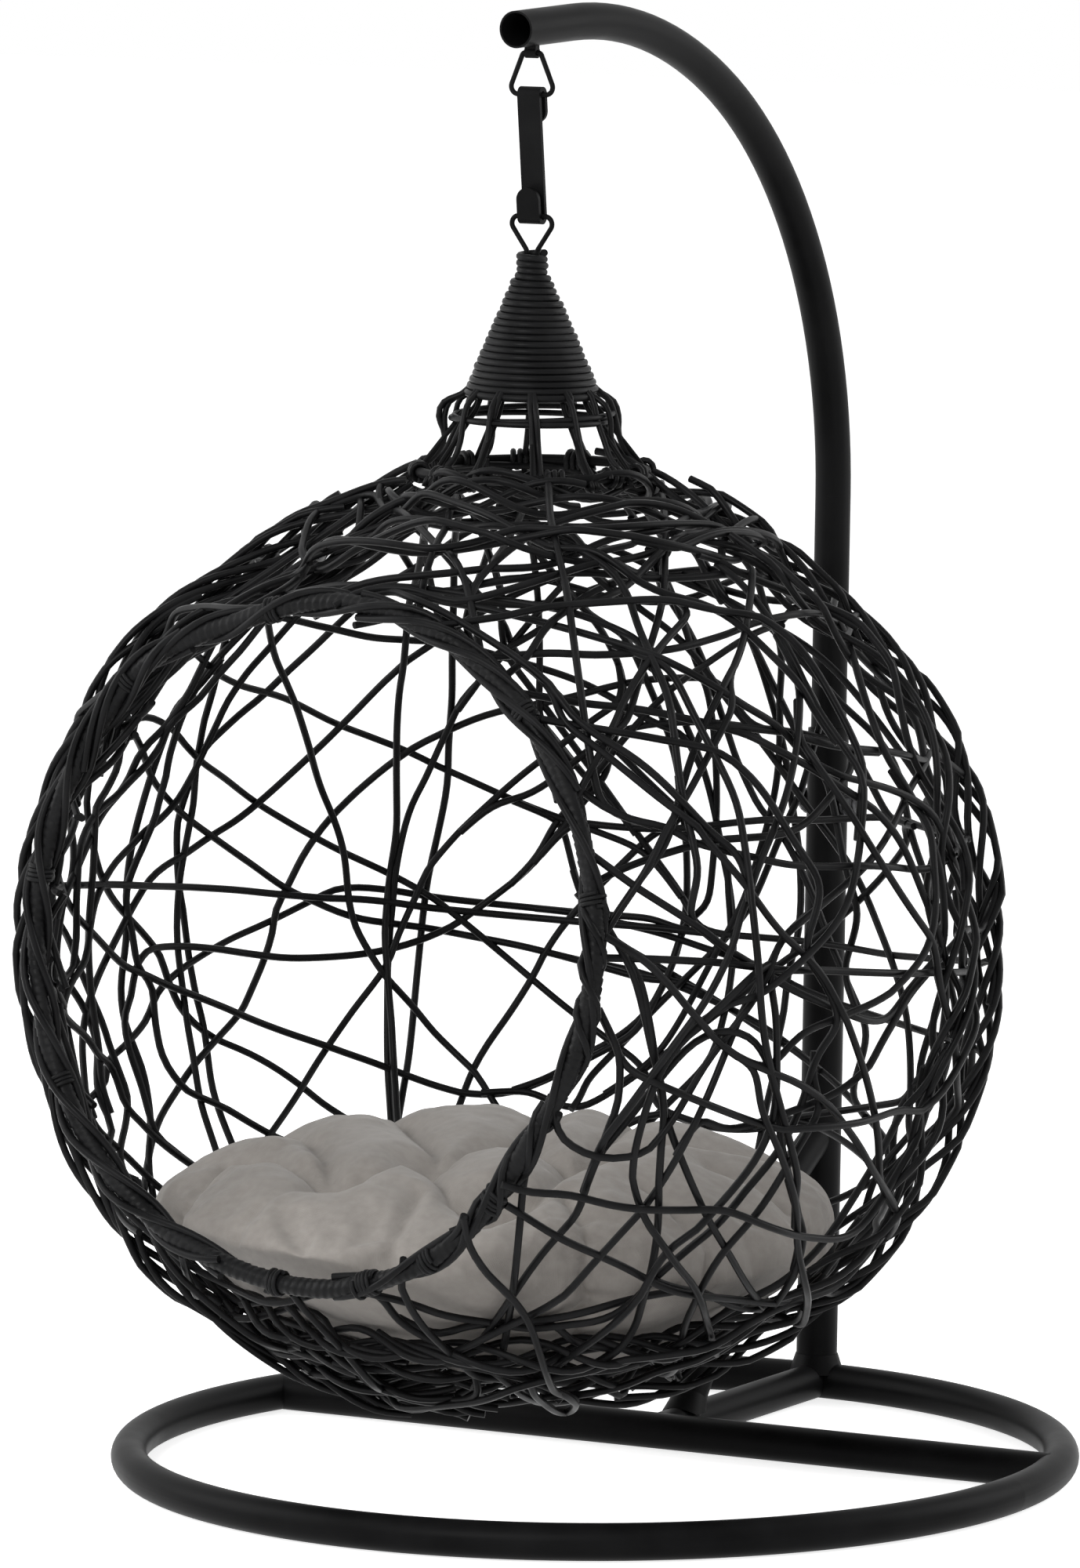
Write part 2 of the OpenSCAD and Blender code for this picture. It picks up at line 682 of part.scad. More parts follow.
module weave(k) {
  hub = HUBS[k];
  for (i = [0:weave_strands - 1]) {
    spot = 180 + weave_span * ((i + 0.5) / weave_strands - 0.5);
    fan = atan2(sin(spot), hub_reach - cos(spot));
    n = sin(fan) * hub_dir(hub) + cos(fan) * hub_side(hub);
    strand(weave_r[k], hub_reach * weave_r[k] * sin(fan), acos(n[2]), atan2(n[1], n[0]),
      [MOUTH, CROWN], strand_d);
  }
}

module weave_1() { color(wicker_black) at_ball() weave(0); }
module weave_2() { color(wicker_black) at_ball() weave(1); }
module weave_3() { color(wicker_black) at_ball() weave(2); }
module weave_4() { color(wicker_black) at_ball() weave(3); }
module weave_5() { color(wicker_black) at_ball() weave(4); }

module frame_ribs() {
  color(powder_black) at_ball() for (i = [0:rib_hoops - 1])
    strand(rib_r, 0, 90, i * 180 / rib_hoops, [MOUTH, CROWN, FLOOR], strand_d);
}

module belt_hoop() {
  color(powder_black) at_ball() strand(ring_layer_r, belt_z, 0, 0, [MOUTH], strand_d);
}

// Level rings round the top and the bottom of the ball
module level_ring(polar, top, d, r) {
  strand(r, (top ? 1 : -1) * r * cos(polar), 0, 0, [], d);
}

module crown_rings() {
  color(wicker_black) at_ball() for (polar = [24:5:34]) level_ring(polar, true, strand_d, ring_layer_r);
}

module floor_rings() {
  color(wicker_black) at_ball() for (polar = [6:6:floor_hoop_angle - 3])
    level_ring(polar, false, strand_d, ring_layer_r);
}

module floor_hoop() {
  color(powder_black) at_ball() level_ring(floor_hoop_angle, false, crown_hoop_d, floor_hoop_r);
}

// Cushion: a thick round pad whose underside follows the ball
module cushion_profile(inset) {
  r = cushion_r - inset;
  edge = cushion_edge_r - inset;
  intersection() {
    translate([0, cushion_level]) circle(r = seat_r - inset, $fn = 128);
    union() {
      translate([r - edge, 0]) circle(r = edge);
      translate([0, -edge]) square([r - edge, 2 * edge]);
    }
  }
}

module at_cushion() { in_place() translate([0, ball_y, cushion_z]) rotate_extrude($fn = 96) children(); }

module cushion_cover() {
  color(cloth_grey) difference() {
    at_cushion() cushion_profile(0);
    at_cushion() cushion_profile(cover_t);
  }
}

module cushion_fill() { color(fill_white) at_cushion() cushion_profile(cover_t + 0.2); }

base_ring();
crossbar();
base_spine();
brace_tube();
lower_post();
weld_beads();
arm_tube();
arm_bolt();
bolt_washers();
cap_nut();
hanger_eye();
upper_link();
s_hook();
lower_link();
crown_boss();
cone_wrap();
crown_rods();
neck_loops();
neck_ring();
crown_hoop();
rim_hoop();
rim_wrap();
frame_ribs();
belt_hoop();
crown_rings();
floor_rings();
floor_hoop();
weave_1();
weave_2();
weave_3();
weave_4();
weave_5();
cushion_cover();
cushion_fill();
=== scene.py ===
import math
import random

import bmesh
import bpy
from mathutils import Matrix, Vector, kdtree, noise


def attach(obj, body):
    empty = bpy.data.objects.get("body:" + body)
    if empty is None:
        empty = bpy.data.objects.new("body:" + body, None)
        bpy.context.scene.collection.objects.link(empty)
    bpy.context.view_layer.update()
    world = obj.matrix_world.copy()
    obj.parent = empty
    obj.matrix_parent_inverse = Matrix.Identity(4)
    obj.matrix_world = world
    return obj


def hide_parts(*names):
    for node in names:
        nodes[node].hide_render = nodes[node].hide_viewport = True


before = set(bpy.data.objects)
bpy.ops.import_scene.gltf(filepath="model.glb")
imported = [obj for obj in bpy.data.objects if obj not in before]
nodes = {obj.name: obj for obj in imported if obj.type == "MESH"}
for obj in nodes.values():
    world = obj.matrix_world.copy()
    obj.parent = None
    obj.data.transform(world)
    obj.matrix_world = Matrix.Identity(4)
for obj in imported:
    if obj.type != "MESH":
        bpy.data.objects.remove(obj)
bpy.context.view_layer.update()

MM = 0.001

# -------- sizes, in metres
BALL_C = Vector((0.0, -0.09012, 0.33539))
BALL_R = 0.283
WALL_IN, WALL_OUT = 0.2665, 0.2915
HANG_Y = -0.06362
RIM_N = Vector((-0.069447, -0.993137, 0.094108)).normalized()
RIM_R = 0.197
RIM_DIST = 0.203175
RIM_BAND_R = 5.0 * MM
STRAND_D = 4.5 * MM
WRAP_PITCH = 3.8 * MM
CONE_TOP_Z, CONE_FOOT_Z = 0.72684, 0.65484
CONE_TOP_R, CONE_FOOT_R = 7.2 * MM, 38.8 * MM
COLLAR_TOP_Z = 0.73824
CROWN_Z = 0.61034
CROWN_R = 0.067
CUSHION_C = Vector((-0.010, -0.0955, 0.16300))
CUSHION_R = 0.205
CUSHION_TOP, CUSHION_FOOT = 0.057, -0.072
SEAM_Z = -0.024
RIM_CLEAR = 0.0115
# How far the cushion may reach from the ball's middle: it rests on the net
SEAT_R = 0.2636

RIM_C = BALL_C + RIM_N * RIM_DIST
RIM_SIDE = RIM_N.cross(Vector((0, 0, 1))).normalized()
RIM_UP = RIM_SIDE.cross(RIM_N).normalized()
CROWN_C = Vector((0.0, HANG_Y, CROWN_Z))
CROWN_N = (CROWN_C - BALL_C).normalized()
MOUTH_ANGLE = math.asin(RIM_R / BALL_R)
CROWN_ANGLE = math.asin(CROWN_R / BALL_R)


def bell(off, width):
    """1 at no distance, falling off to 0 over about twice the width."""
    return math.exp(-(off / width) ** 2)


def clamped(value):
    return max(0.0, min(1.0, value))


def ripple(x, y, z):
    return noise.noise(Vector((x, y, z)))


def round_axis(radius, angle, z):
    """A point round the vertical line on which the ball hangs."""
    return Vector((radius * math.cos(angle), HANG_Y + radius * math.sin(angle), z))


# -------- camera
FRAME_W, FRAME_H = 1378, 2000
FOCAL_PX = 14000.0
CAM_POS = Vector((3.2004, -5.6424, 1.2343))
CAM_DIR = Vector((-0.4931, 0.8610, -0.1250)).normalized()
CAM_RIGHT = CAM_DIR.cross(Vector((0, 0, 1))).normalized()
CAM_UP = CAM_RIGHT.cross(CAM_DIR)
SENSOR_WIDTH = 36.0


def pixel_ray(u, v):
    """Direction from the camera through a pixel of the 1378 x 2000 frame."""
    across = CAM_RIGHT * ((u - FRAME_W / 2) / FOCAL_PX)
    return (CAM_DIR + across - CAM_UP * ((v - FRAME_H / 2) / FOCAL_PX)).normalized()


def pixels(row):
    """The (u, v) pairs of a row of numbers."""
    return list(zip(row[::2], row[1::2]))


def on_ball(u, v, far, radius=BALL_R):
    """Where a pixel's ray meets the ball's near or far wall; beside the ball, the nearest limb point."""
    d = pixel_ray(u, v)
    off = BALL_C - CAM_POS
    along = off.dot(d)
    miss = CAM_POS + d * along - BALL_C
    if miss.length >= radius * 0.9995:
        return BALL_C + miss.normalized() * radius
    half = math.sqrt(radius * radius - miss.length_squared)
    return CAM_POS + d * (along + (half if far else -half))


def in_scene(name, data):
    """A new object of the scene that holds the data."""
    obj = bpy.data.objects.new(name, data)
    bpy.context.scene.collection.objects.link(obj)
    return obj


def aimed(obj, place, way):
    """Puts a camera or lamp at a place, to look along a direction."""
    obj.location = place
    obj.rotation_mode = "QUATERNION"
    obj.rotation_quaternion = way.to_track_quat("-Z", "Y")


def make_camera():
    data = bpy.data.cameras.new("camera")
    data.sensor_width = SENSOR_WIDTH
    data.sensor_fit = "AUTO"
    data.lens = FOCAL_PX / FRAME_H * SENSOR_WIDTH
    data.clip_start, data.clip_end = 0.1, 60.0
    cam = in_scene("camera", data)
    aimed(cam, CAM_POS, CAM_DIR)
    bpy.context.scene.camera = cam


# -------- materials
def feed(tree, node, *by_place, **by_name):
    """Gives a node's inputs, by place or by name with _ for a space, a value or another node's output."""
    chosen = list(zip(node.inputs, by_place))
    chosen += [(node.inputs[key.replace("_", " ")], value) for key, value in by_name.items()]
    for socket, value in chosen:
        if isinstance(value, bpy.types.NodeSocket):
            tree.links.new(value, socket)
        else:
            socket.default_value = value
    return node


def add_node(tree, kind, *by_place, **by_name):
    return feed(tree, tree.nodes.new(kind), *by_place, **by_name)


def add_math(tree, operation, *values):
    node = add_node(tree, "ShaderNodeMath", *values)
    node.operation = operation
    return node.outputs[0]


def new_material(name, base, roughness, **sockets):
    mat = bpy.data.materials.new(name)
    mat.use_nodes = True
    tree = mat.node_tree
    shader = tree.nodes["Principled BSDF"]
    feed(tree, shader, Base_Color=(*base, 1), Roughness=roughness, **sockets)
    return mat, tree, shader


def noise_field(tree, scale, detail=4.0):
    """Noise on Object coordinates."""
    coords = add_node(tree, "ShaderNodeTexCoord").outputs["Object"]
    return add_node(tree, "ShaderNodeTexNoise", Vector=coords, Scale=scale, Detail=detail).outputs["Fac"]


def ramp_between(tree, source, low, high, start=0.35, end=0.65):
    ramp = add_node(tree, "ShaderNodeValToRGB", Fac=source)
    for element, place, colour in zip(ramp.color_ramp.elements, (start, end), (low, high)):
        element.position = place
        element.color = (*colour, 1)
    return ramp.outputs["Color"]


def value_between(tree, source, low, high):
    return add_node(tree, "ShaderNodeMapRange", Value=source, From_Min=0.3, From_Max=0.7,
                    To_Min=low, To_Max=high).outputs["Result"]


def add_bump(tree, shader, height, strength, distance):
    bump = add_node(tree, "ShaderNodeBump", Strength=strength, Distance=distance, Height=height)
    feed(tree, shader, Normal=bump.outputs["Normal"])


def powder_coat():
    """Satin black powder coat with fine orange peel and faint dust."""
    mat, tree, shader = new_material("powder_coat", (0.006, 0.006, 0.0063), 0.42, IOR=1.5,
                                     Specular_IOR_Level=0.045)
    dust = noise_field(tree, 22.0)
    feed(tree, shader, Roughness=value_between(tree, dust, 0.37, 0.47),
         Base_Color=ramp_between(tree, dust, (0.0045, 0.0045, 0.0047), (0.0085, 0.0085, 0.0088)))
    add_bump(tree, shader, noise_field(tree, 900.0, 2.0), 0.12, 0.0002)
    return mat


def zinc_plate():
    """Blackened zinc on the fasteners, with worn brighter patches."""
    mat, tree, shader = new_material("zinc_plate", (0.05, 0.05, 0.052), 0.38, Metallic=0.8)
    wear = noise_field(tree, 240.0)
    feed(tree, shader, Base_Color=ramp_between(tree, wear, (0.02, 0.02, 0.021), (0.11, 0.11, 0.115)))
    add_bump(tree, shader, wear, 0.2, 0.0001)
    return mat


def wicker(name, low, high, rough_low, rough_high):
    """Extruded wicker: near-black, with patches of sheen and a fine grain."""
    mat, tree, shader = new_material(name, high, rough_high, IOR=1.48, Specular_IOR_Level=0.10)
    patches = noise_field(tree, 38.0, 5.0)
    feed(tree, shader, Base_Color=ramp_between(tree, patches, low, high),
         Roughness=value_between(tree, patches, rough_low, rough_high))
    add_bump(tree, shader, noise_field(tree, 700.0, 3.0), 0.22, 0.00025)
    return mat


def cushion_cloth():
    """Plain-woven polyester: crossed threads by waves, slubs and blotches by noise, soft sheen."""
    mat, tree, shader = new_material("cushion_cloth", (0.27, 0.245, 0.225), 0.85, Sheen_Weight=0.25,
                                     Sheen_Roughness=0.45, Specular_IOR_Level=0.25)
    slubs = noise_field(tree, 160.0, 6.0)
    blotches = add_math(tree, "MULTIPLY", noise_field(tree, 9.0, 3.0), 0.5)
    both = add_math(tree, "MULTIPLY_ADD", slubs, 0.5, blotches)
    feed(tree, shader,
         Base_Color=ramp_between(tree, both, (0.292, 0.269, 0.247), (0.352, 0.326, 0.301), 0.38, 0.62))
    coords = add_node(tree, "ShaderNodeTexCoord").outputs["Object"]
    threads = []
    for axis in ("X", "Y"):
        wave = add_node(tree, "ShaderNodeTexWave", Vector=coords, Scale=420.0, Distortion=1.2)
        wave.wave_type = "BANDS"
        wave.bands_direction = axis
        threads.append(wave.outputs["Fac"])
    add_bump(tree, shader, add_math(tree, "MAXIMUM", *threads), 0.28, 0.0003)
    return mat


def assign(obj, mat):
    obj.data.materials.clear()
    obj.data.materials.append(mat)


def smooth_shaded(obj):
    for poly in obj.data.polygons:
        poly.use_smooth = True


def from_bmesh(name, bm):
    """An object of the scene from a bmesh, with its faces turned outwards."""
    bmesh.ops.recalc_face_normals(bm, faces=bm.faces)
    mesh = bpy.data.meshes.new(name)
    bm.to_mesh(mesh)
    bm.free()
    return in_scene(name, mesh)


# -------- swept strands
def sweep_tree():
    """Paths as edges in; round strands along them out."""
    tree = bpy.data.node_groups.new("strand_sweep", "GeometryNodeTree")
    inputs = {"Paths": "Geometry", "Thickness": "Float", "Sides": "Int", "Finish": "Material"}
    for name, kind in inputs.items():
        tree.interface.new_socket(name, in_out="INPUT", socket_type="NodeSocket" + kind)
    tree.interface.new_socket("Strands", in_out="OUTPUT", socket_type="NodeSocketGeometry")
    given = tree.nodes.new("NodeGroupInput").outputs
    curve = add_node(tree, "GeometryNodeMeshToCurve", Mesh=given["Paths"]).outputs["Curve"]
    curve = add_node(tree, "GeometryNodeSetCurveRadius", Curve=curve, Radius=1.0).outputs["Curve"]
    circle = add_node(tree, "GeometryNodeCurvePrimitiveCircle", Resolution=given["Sides"],
                      Radius=add_math(tree, "MULTIPLY", given["Thickness"], 0.5)).outputs["Curve"]
    skin = add_node(tree, "GeometryNodeCurveToMesh", Curve=curve, Profile_Curve=circle, Fill_Caps=True)
    smooth = add_node(tree, "GeometryNodeSetShadeSmooth", Geometry=skin.outputs["Mesh"])
    real = add_node(tree, "GeometryNodeRealizeInstances", Geometry=smooth.outputs["Geometry"])
    paint = add_node(tree, "GeometryNodeSetMaterial", Geometry=real.outputs["Geometry"],
                     Material=given["Finish"])
    add_node(tree, "NodeGroupOutput", Strands=paint.outputs["Geometry"])
    return tree


def run_tree(obj, tree, **inputs):
    """Applies a node tree to obj with named inputs and leaves a plain mesh."""
    modifier = obj.modifiers.new("shape", "NODES")
    modifier.node_group = tree
    for item in tree.interface.items_tree:
        if item.item_type == "SOCKET" and item.in_out == "INPUT" and item.name in inputs:
            modifier[item.identifier] = inputs[item.name]
    obj.update_tag()
    bpy.context.view_layer.update()
    graph = bpy.context.evaluated_depsgraph_get()
    plain = bpy.data.meshes.new_from_object(obj.evaluated_get(graph), depsgraph=graph)
    obj.modifiers.remove(modifier)
    obj.data = plain


def strands(name, paths, mat, thickness, sides):
    """Round strands along paths, which are lists of points. A path that comes back to its start is closed."""
    verts, edges = [], []
    for path in paths:
        first = len(verts)
        closed = (path[0] - path[-1]).length < 1e-6
        points = path[:-1] if closed else path
        verts += points
        last = first + len(points) - 1
        edges += [(i, i + 1) for i in range(first, last)]
        if closed:
            edges.append((last, first))
    mesh = bpy.data.meshes.new(name)
    mesh.from_pydata(verts, edges, [])
    obj = in_scene(name, mesh)
    run_tree(obj, SWEEP, Thickness=thickness, Sides=sides, Finish=mat)
    return obj


def spline(points, step):
    """Catmull-Rom curve through the points, in steps of about the same length."""
    out = []
    ext = [points[0] * 2 - points[1]] + list(points) + [points[-1] * 2 - points[-2]]
    for a, b, c, d in zip(ext, ext[1:], ext[2:], ext[3:]):
        cuts = max(1, int(round((c - b).length / step)))
        for k in range(cuts):
            t = k / cuts
            out.append(0.5 * (2 * b + (c - a) * t + (2 * a - 5 * b + 4 * c - d) * t ** 2
                              + (3 * b - a - 3 * c + d) * t ** 3))
    out.append(points[-1].copy())
    return out


# -------- the ball's weave
STEP = 7.0 * MM
# How much a strand bends per 0.1 m, in radians: where it runs on past its traced ends, and in the fill
TRACED_BEND, FILL_BEND = 0.35, 0.5
# How far it goes over and under others, as a share of the wall
OVER_UNDER = 0.32
# The tries that a strand of the fill gets, and the share of its shortest run that is enough
FILL_TRIES, FILL_LEAST = 40, 0.6
FILL_SEEDS = (0, 900)
# Where the ball is flatter than round: a pixel of the frame, and by how much, in millimetres
FLAT_SPOTS = ((400, 650, 17.0), (335, 675, 13.0), (250, 752, 6.0), (112, 925, 8.0), (1085, 735, 9.0),
              (900, 1755, 8.0), (700, 1808, 2.0), (340, 1716, 8.0))
FLATS = [((on_ball(u, v, False) - BALL_C).normalized(), drop) for u, v, drop in FLAT_SPOTS]
FLAT_ANGLE = 0.23


def wall(depth):
    """Radius of the wall at a depth from 0, inside, to 1, outside."""
    return WALL_IN + (WALL_OUT - WALL_IN) * clamped(depth)


def flattened(way):
    """How far the wall lies inside the round ball in a direction."""
    return sum(drop * MM * bell(way.angle(at), FLAT_ANGLE) for at, drop in FLATS)


def at_depth(point, depth):
    way = (point - BALL_C).normalized()
    return BALL_C + way * (wall(depth) - flattened(way))


def in_cap(point, normal, half_angle):
    return (point - BALL_C).normalized().dot(normal) > math.cos(half_angle)


def stopped(point):
    """True in the entrance and in the crown, where no strand runs."""
    return in_cap(point, RIM_N, MOUTH_ANGLE + 0.004) or in_cap(point, CROWN_N, CROWN_ANGLE - 0.01)


def seen_through_mouth(point, margin):
    """True for a point of the far wall that the camera sees through the entrance."""
    ray = (point - CAM_POS).normalized()
    span = (RIM_C - CAM_POS).dot(RIM_N) / ray.dot(RIM_N)
    inside = (CAM_POS + ray * span - RIM_C).length < RIM_R + margin
    return inside and span < (point - CAM_POS).length


def undulate(points, depth, seed):
    """Lays a path on the wall at its depth, with the gentle over-and-under of a woven strand."""
    return [at_depth(p, depth + OVER_UNDER * ripple(i * STEP * 17.0, seed * 3.17, 0.5))
            for i, p in enumerate(points)]


def walk(start, heading, length, bend, seed, stop=stopped):
    """Runs nearly straight over the wall from a point, until the entrance or the crown stops it."""
    p = (start - BALL_C).normalized()
    t = (heading - p * heading.dot(p)).normalized()
    out = []
    for i in range(int(length / STEP)):
        turn = ripple(i * STEP * 6.0, seed * 2.3, 1.1) * bend * STEP / 0.1
        t = (t + p.cross(t) * turn).normalized()
        p = (p + t * (STEP / BALL_R)).normalized()
        t = (t - p * t.dot(p)).normalized()
        q = BALL_C + p * BALL_R
        if stop(q):
            break
        out.append(q)
    return out


def off_limits(point):
    return stopped(point) or seen_through_mouth(point, 0.004)


def faces_camera(p):
    return (p - BALL_C).dot(CAM_POS - p) > 0


def traced(row, far, depth, seed, reach, stop=stopped):
    """A strand through places in the frame, on the near or the far wall, carried on past both ends."""
    path = spline([on_ball(u, v, far, wall(depth)) for u, v in pixels(row)], STEP)
    path = walk(path[0], path[0] - path[2], reach[0], TRACED_BEND, seed + 0.3, stop)[::-1] + path
    path = path + walk(path[-1], path[-1] - path[-3], reach[1], TRACED_BEND, seed + 0.7, stop)
    return undulate(path, depth, seed)


def run_at(path, i):
    """The way from the point before i to the one after it, as far as the path has them."""
    return (path[min(i + 1, len(path) - 1)] - path[max(i - 1, 0)]).normalized()


# A loose end runs on to a strand at least this far away, about ahead of it and not across its way
TIE_NEAREST, TIE_AHEAD, TIE_ALONG = 0.012, 0.55, 0.45
# How far under that strand it lies, how many points it goes along with it, and how its bend is eased
TIE_UNDER, TIE_POINTS = 2.6 * MM, 5
EASED_POINTS, EASING_PASSES = 26, 6
# The spacing of the points that it gains, and what that strand costs per metre away, less its lean ahead
TIE_STEP, TIE_COST = STEP * 0.7, 2.2
# A point this near to one of its last points is its own, and no strand to run on to
OWN_GAP, OWN_POINTS = 0.002, 12


def next_strand(path, hosts, owners, tree, reach):
    """The strand, and the place on it, that a path's end best runs on to, or None."""
    tip, heading = path[-1], (path[-1] - path[-4]).normalized()
    best, least = None, math.inf
    for spot, k, gap in tree.find_range(tip, reach):
        host, i = hosts[owners[k][0]], owners[k][1]
        own = any((spot - q).length < OWN_GAP for q in path[-OWN_POINTS:])
        if own or gap < TIE_NEAREST or abs(run_at(host, i).dot(heading)) < TIE_ALONG:
            continue
        lean = (spot - tip).normalized().dot(heading)
        cost = gap * (TIE_COST - lean)
        if lean > TIE_AHEAD and cost < least:
            best, least = (host, i), cost
    return best


def tied_in(paths, hosts, reach):
    """Carries each loose end on to the next strand ahead, and along under it."""
    owners = [(n, i) for n, host in enumerate(hosts) for i in range(len(host))]
    tree = kdtree.KDTree(len(owners))
    for k, (n, i) in enumerate(owners):
        tree.insert(hosts[n][i], k)
    tree.balance()
    out = []
    for path in paths:
        path = list(path)
        for _ in range(2):
            path.reverse()
            tip, heading = path[-1], (path[-1] - path[-4]).normalized()
            if stopped(tip + heading * TIE_NEAREST):
                continue
            found = next_strand(path, hosts, owners, tree, reach)
            if found is None:
                continue
            host, i = found
            way = 1 if run_at(host, i).dot(heading) >= 0 else -1
            run = [host[j] for j in range(i, i + way * TIE_POINTS, way) if 0 <= j < len(host)]
            run = [q + (BALL_C - q).normalized() * TIE_UNDER for q in run]
            path = path[:-3] + spline([path[-3], tip] + run, TIE_STEP)
            for _ in range(EASING_PASSES):
                for j in range(max(1, len(path) - EASED_POINTS), len(path) - 1):
                    path[j] = path[j] * 0.5 + (path[j - 1] + path[j + 1]) * 0.25
        out.append(path)
    return out


def cap_edge(normal, half_angle, turn):
    """A point on a cap's edge, with the directions there along the edge and away from the cap."""
    side = normal.cross(Vector((1, 0, 0.3))).normalized()
    out = (side * math.cos(turn) + normal.cross(side) * math.sin(turn)).normalized()
    p = normal * math.cos(half_angle) + out * math.sin(half_angle)
    away = (out * math.cos(half_angle) - normal * math.sin(half_angle)).normalized()
    return BALL_C + p * BALL_R, p.cross(away).normalized(), away


def from_rim(rng):
    p, along, away = cap_edge(RIM_N, MOUTH_ANGLE + 0.02, rng.uniform(0, math.tau))
    return p, away + along * rng.uniform(-1.4, 1.4)


def from_crown(rng):
    p, along, away = cap_edge(CROWN_N, CROWN_ANGLE + 0.012, rng.uniform(0, math.tau))
    return p, away + along * rng.uniform(-1.6, 1.6)


def any_way(rng):
    return Vector((rng.gauss(0, 1), rng.gauss(0, 1), rng.gauss(0, 1)))


def from_anywhere(rng):
    while True:
        q = BALL_C + any_way(rng).normalized() * BALL_R
        if not stopped(q):
            return q, any_way(rng)


def fill(rng, count, length, keep, source, depth=(0.0, 1.0)):
    """Seeded strands that stay where keep(point) holds."""
    out = []
    for _ in range(count * FILL_TRIES):
        if len(out) == count:
            break
        start, heading = source(rng)
        path = walk(start, heading, rng.uniform(*length), FILL_BEND, rng.uniform(*FILL_SEEDS))
        cut = next((i for i, p in enumerate(path) if not keep(p)), len(path))
        if cut * STEP >= length[0] * FILL_LEAST:
            out.append(undulate(path[:cut], rng.uniform(*depth), rng.uniform(*FILL_SEEDS)))
    return out


def bundle(base, count, spread, twists, depth, seed):
    """Strands that run together along a base path and twist slowly about each other."""
    rng = random.Random(seed)
    out = []
    total = max(1, len(base) - 1)
    for k in range(count):
        phase = math.tau * (k + rng.uniform(-0.25, 0.25)) / count
        lane = rng.uniform(0.55, 1.0)
        path = []
        for i in range(rng.randint(0, 8), len(base) - rng.randint(0, 8)):
            side = (base[i] - BALL_C).normalized().cross(run_at(base, i))
            a = phase + math.tau * twists * i / total
            wob = ripple(i * 0.06, seed * 1.3 + k * 4.1, 2.2) * 0.9
            level = depth[0] + (depth[1] - depth[0]) * (0.5 + 0.5 * math.sin(a))
            level += 0.3 * ripple(i * 0.11, seed * 2.1 + k * 1.7, 6.1)
            path.append(at_depth(base[i] + side * spread * lane * (math.cos(a) + wob), level))
        if len(path) > 4:
            out.append(path)
    return out


def arc_path(start, stop, radius, way_at):
    """A base path on the ball, in the directions of way_at(angle) from one angle to another, in degrees."""
    count = max(8, int(math.radians(abs(stop - start)) * radius / STEP))
    angles = [math.radians(start + (stop - start) * i / count) for i in range(count + 1)]
    return [BALL_C + way_at(a) * BALL_R for a in angles]


def level_path(start, stop, polar, tilt):
    """A base path round the ball at an angle from straight down, between two azimuths."""
    def way_at(a):
        q = math.radians(polar + tilt * math.sin(a + 0.7))
        return Vector((math.sin(q) * math.cos(a), math.sin(q) * math.sin(a), -math.cos(q)))

    return arc_path(start, stop, BALL_R * math.sin(math.radians(polar)), way_at)


def limb_path(start, stop, lean):
    """A base path along the ball's outline as the camera sees it, leaning towards the camera."""
    def way_at(a):
        q = math.radians(lean + 2.5 * math.sin(a * 5.0 + lean))
        return (CAM_RIGHT * math.cos(a) + CAM_UP * math.sin(a)) * math.cos(q) - CAM_DIR * math.sin(q)

    return arc_path(start, stop, BALL_R, way_at)


def crown_path(start, stop, polar, tilt):
    """A base path round the line from the ball's middle to its crown, at an angle from it."""
    side = CROWN_N.cross(Vector((0, 1, 0.2))).normalized()
    fore = CROWN_N.cross(side)

    def way_at(a):
        q = math.radians(polar + tilt * math.sin(a + 0.7))
        return CROWN_N * math.cos(q) + (side * math.cos(a) + fore * math.sin(a)) * math.sin(q)

    return arc_path(start, stop, BALL_R * math.sin(math.radians(polar)), way_at)


def bundles_on(path_at, lines, seed, lay):
    """Bundles along base paths. A line ends with its strands and may have a lay of its own after them."""
    out = []
    for k, (line, count, *own) in enumerate(lines):
        out += bundle(path_at(*line), count, *(own or lay), seed + k)
    return out


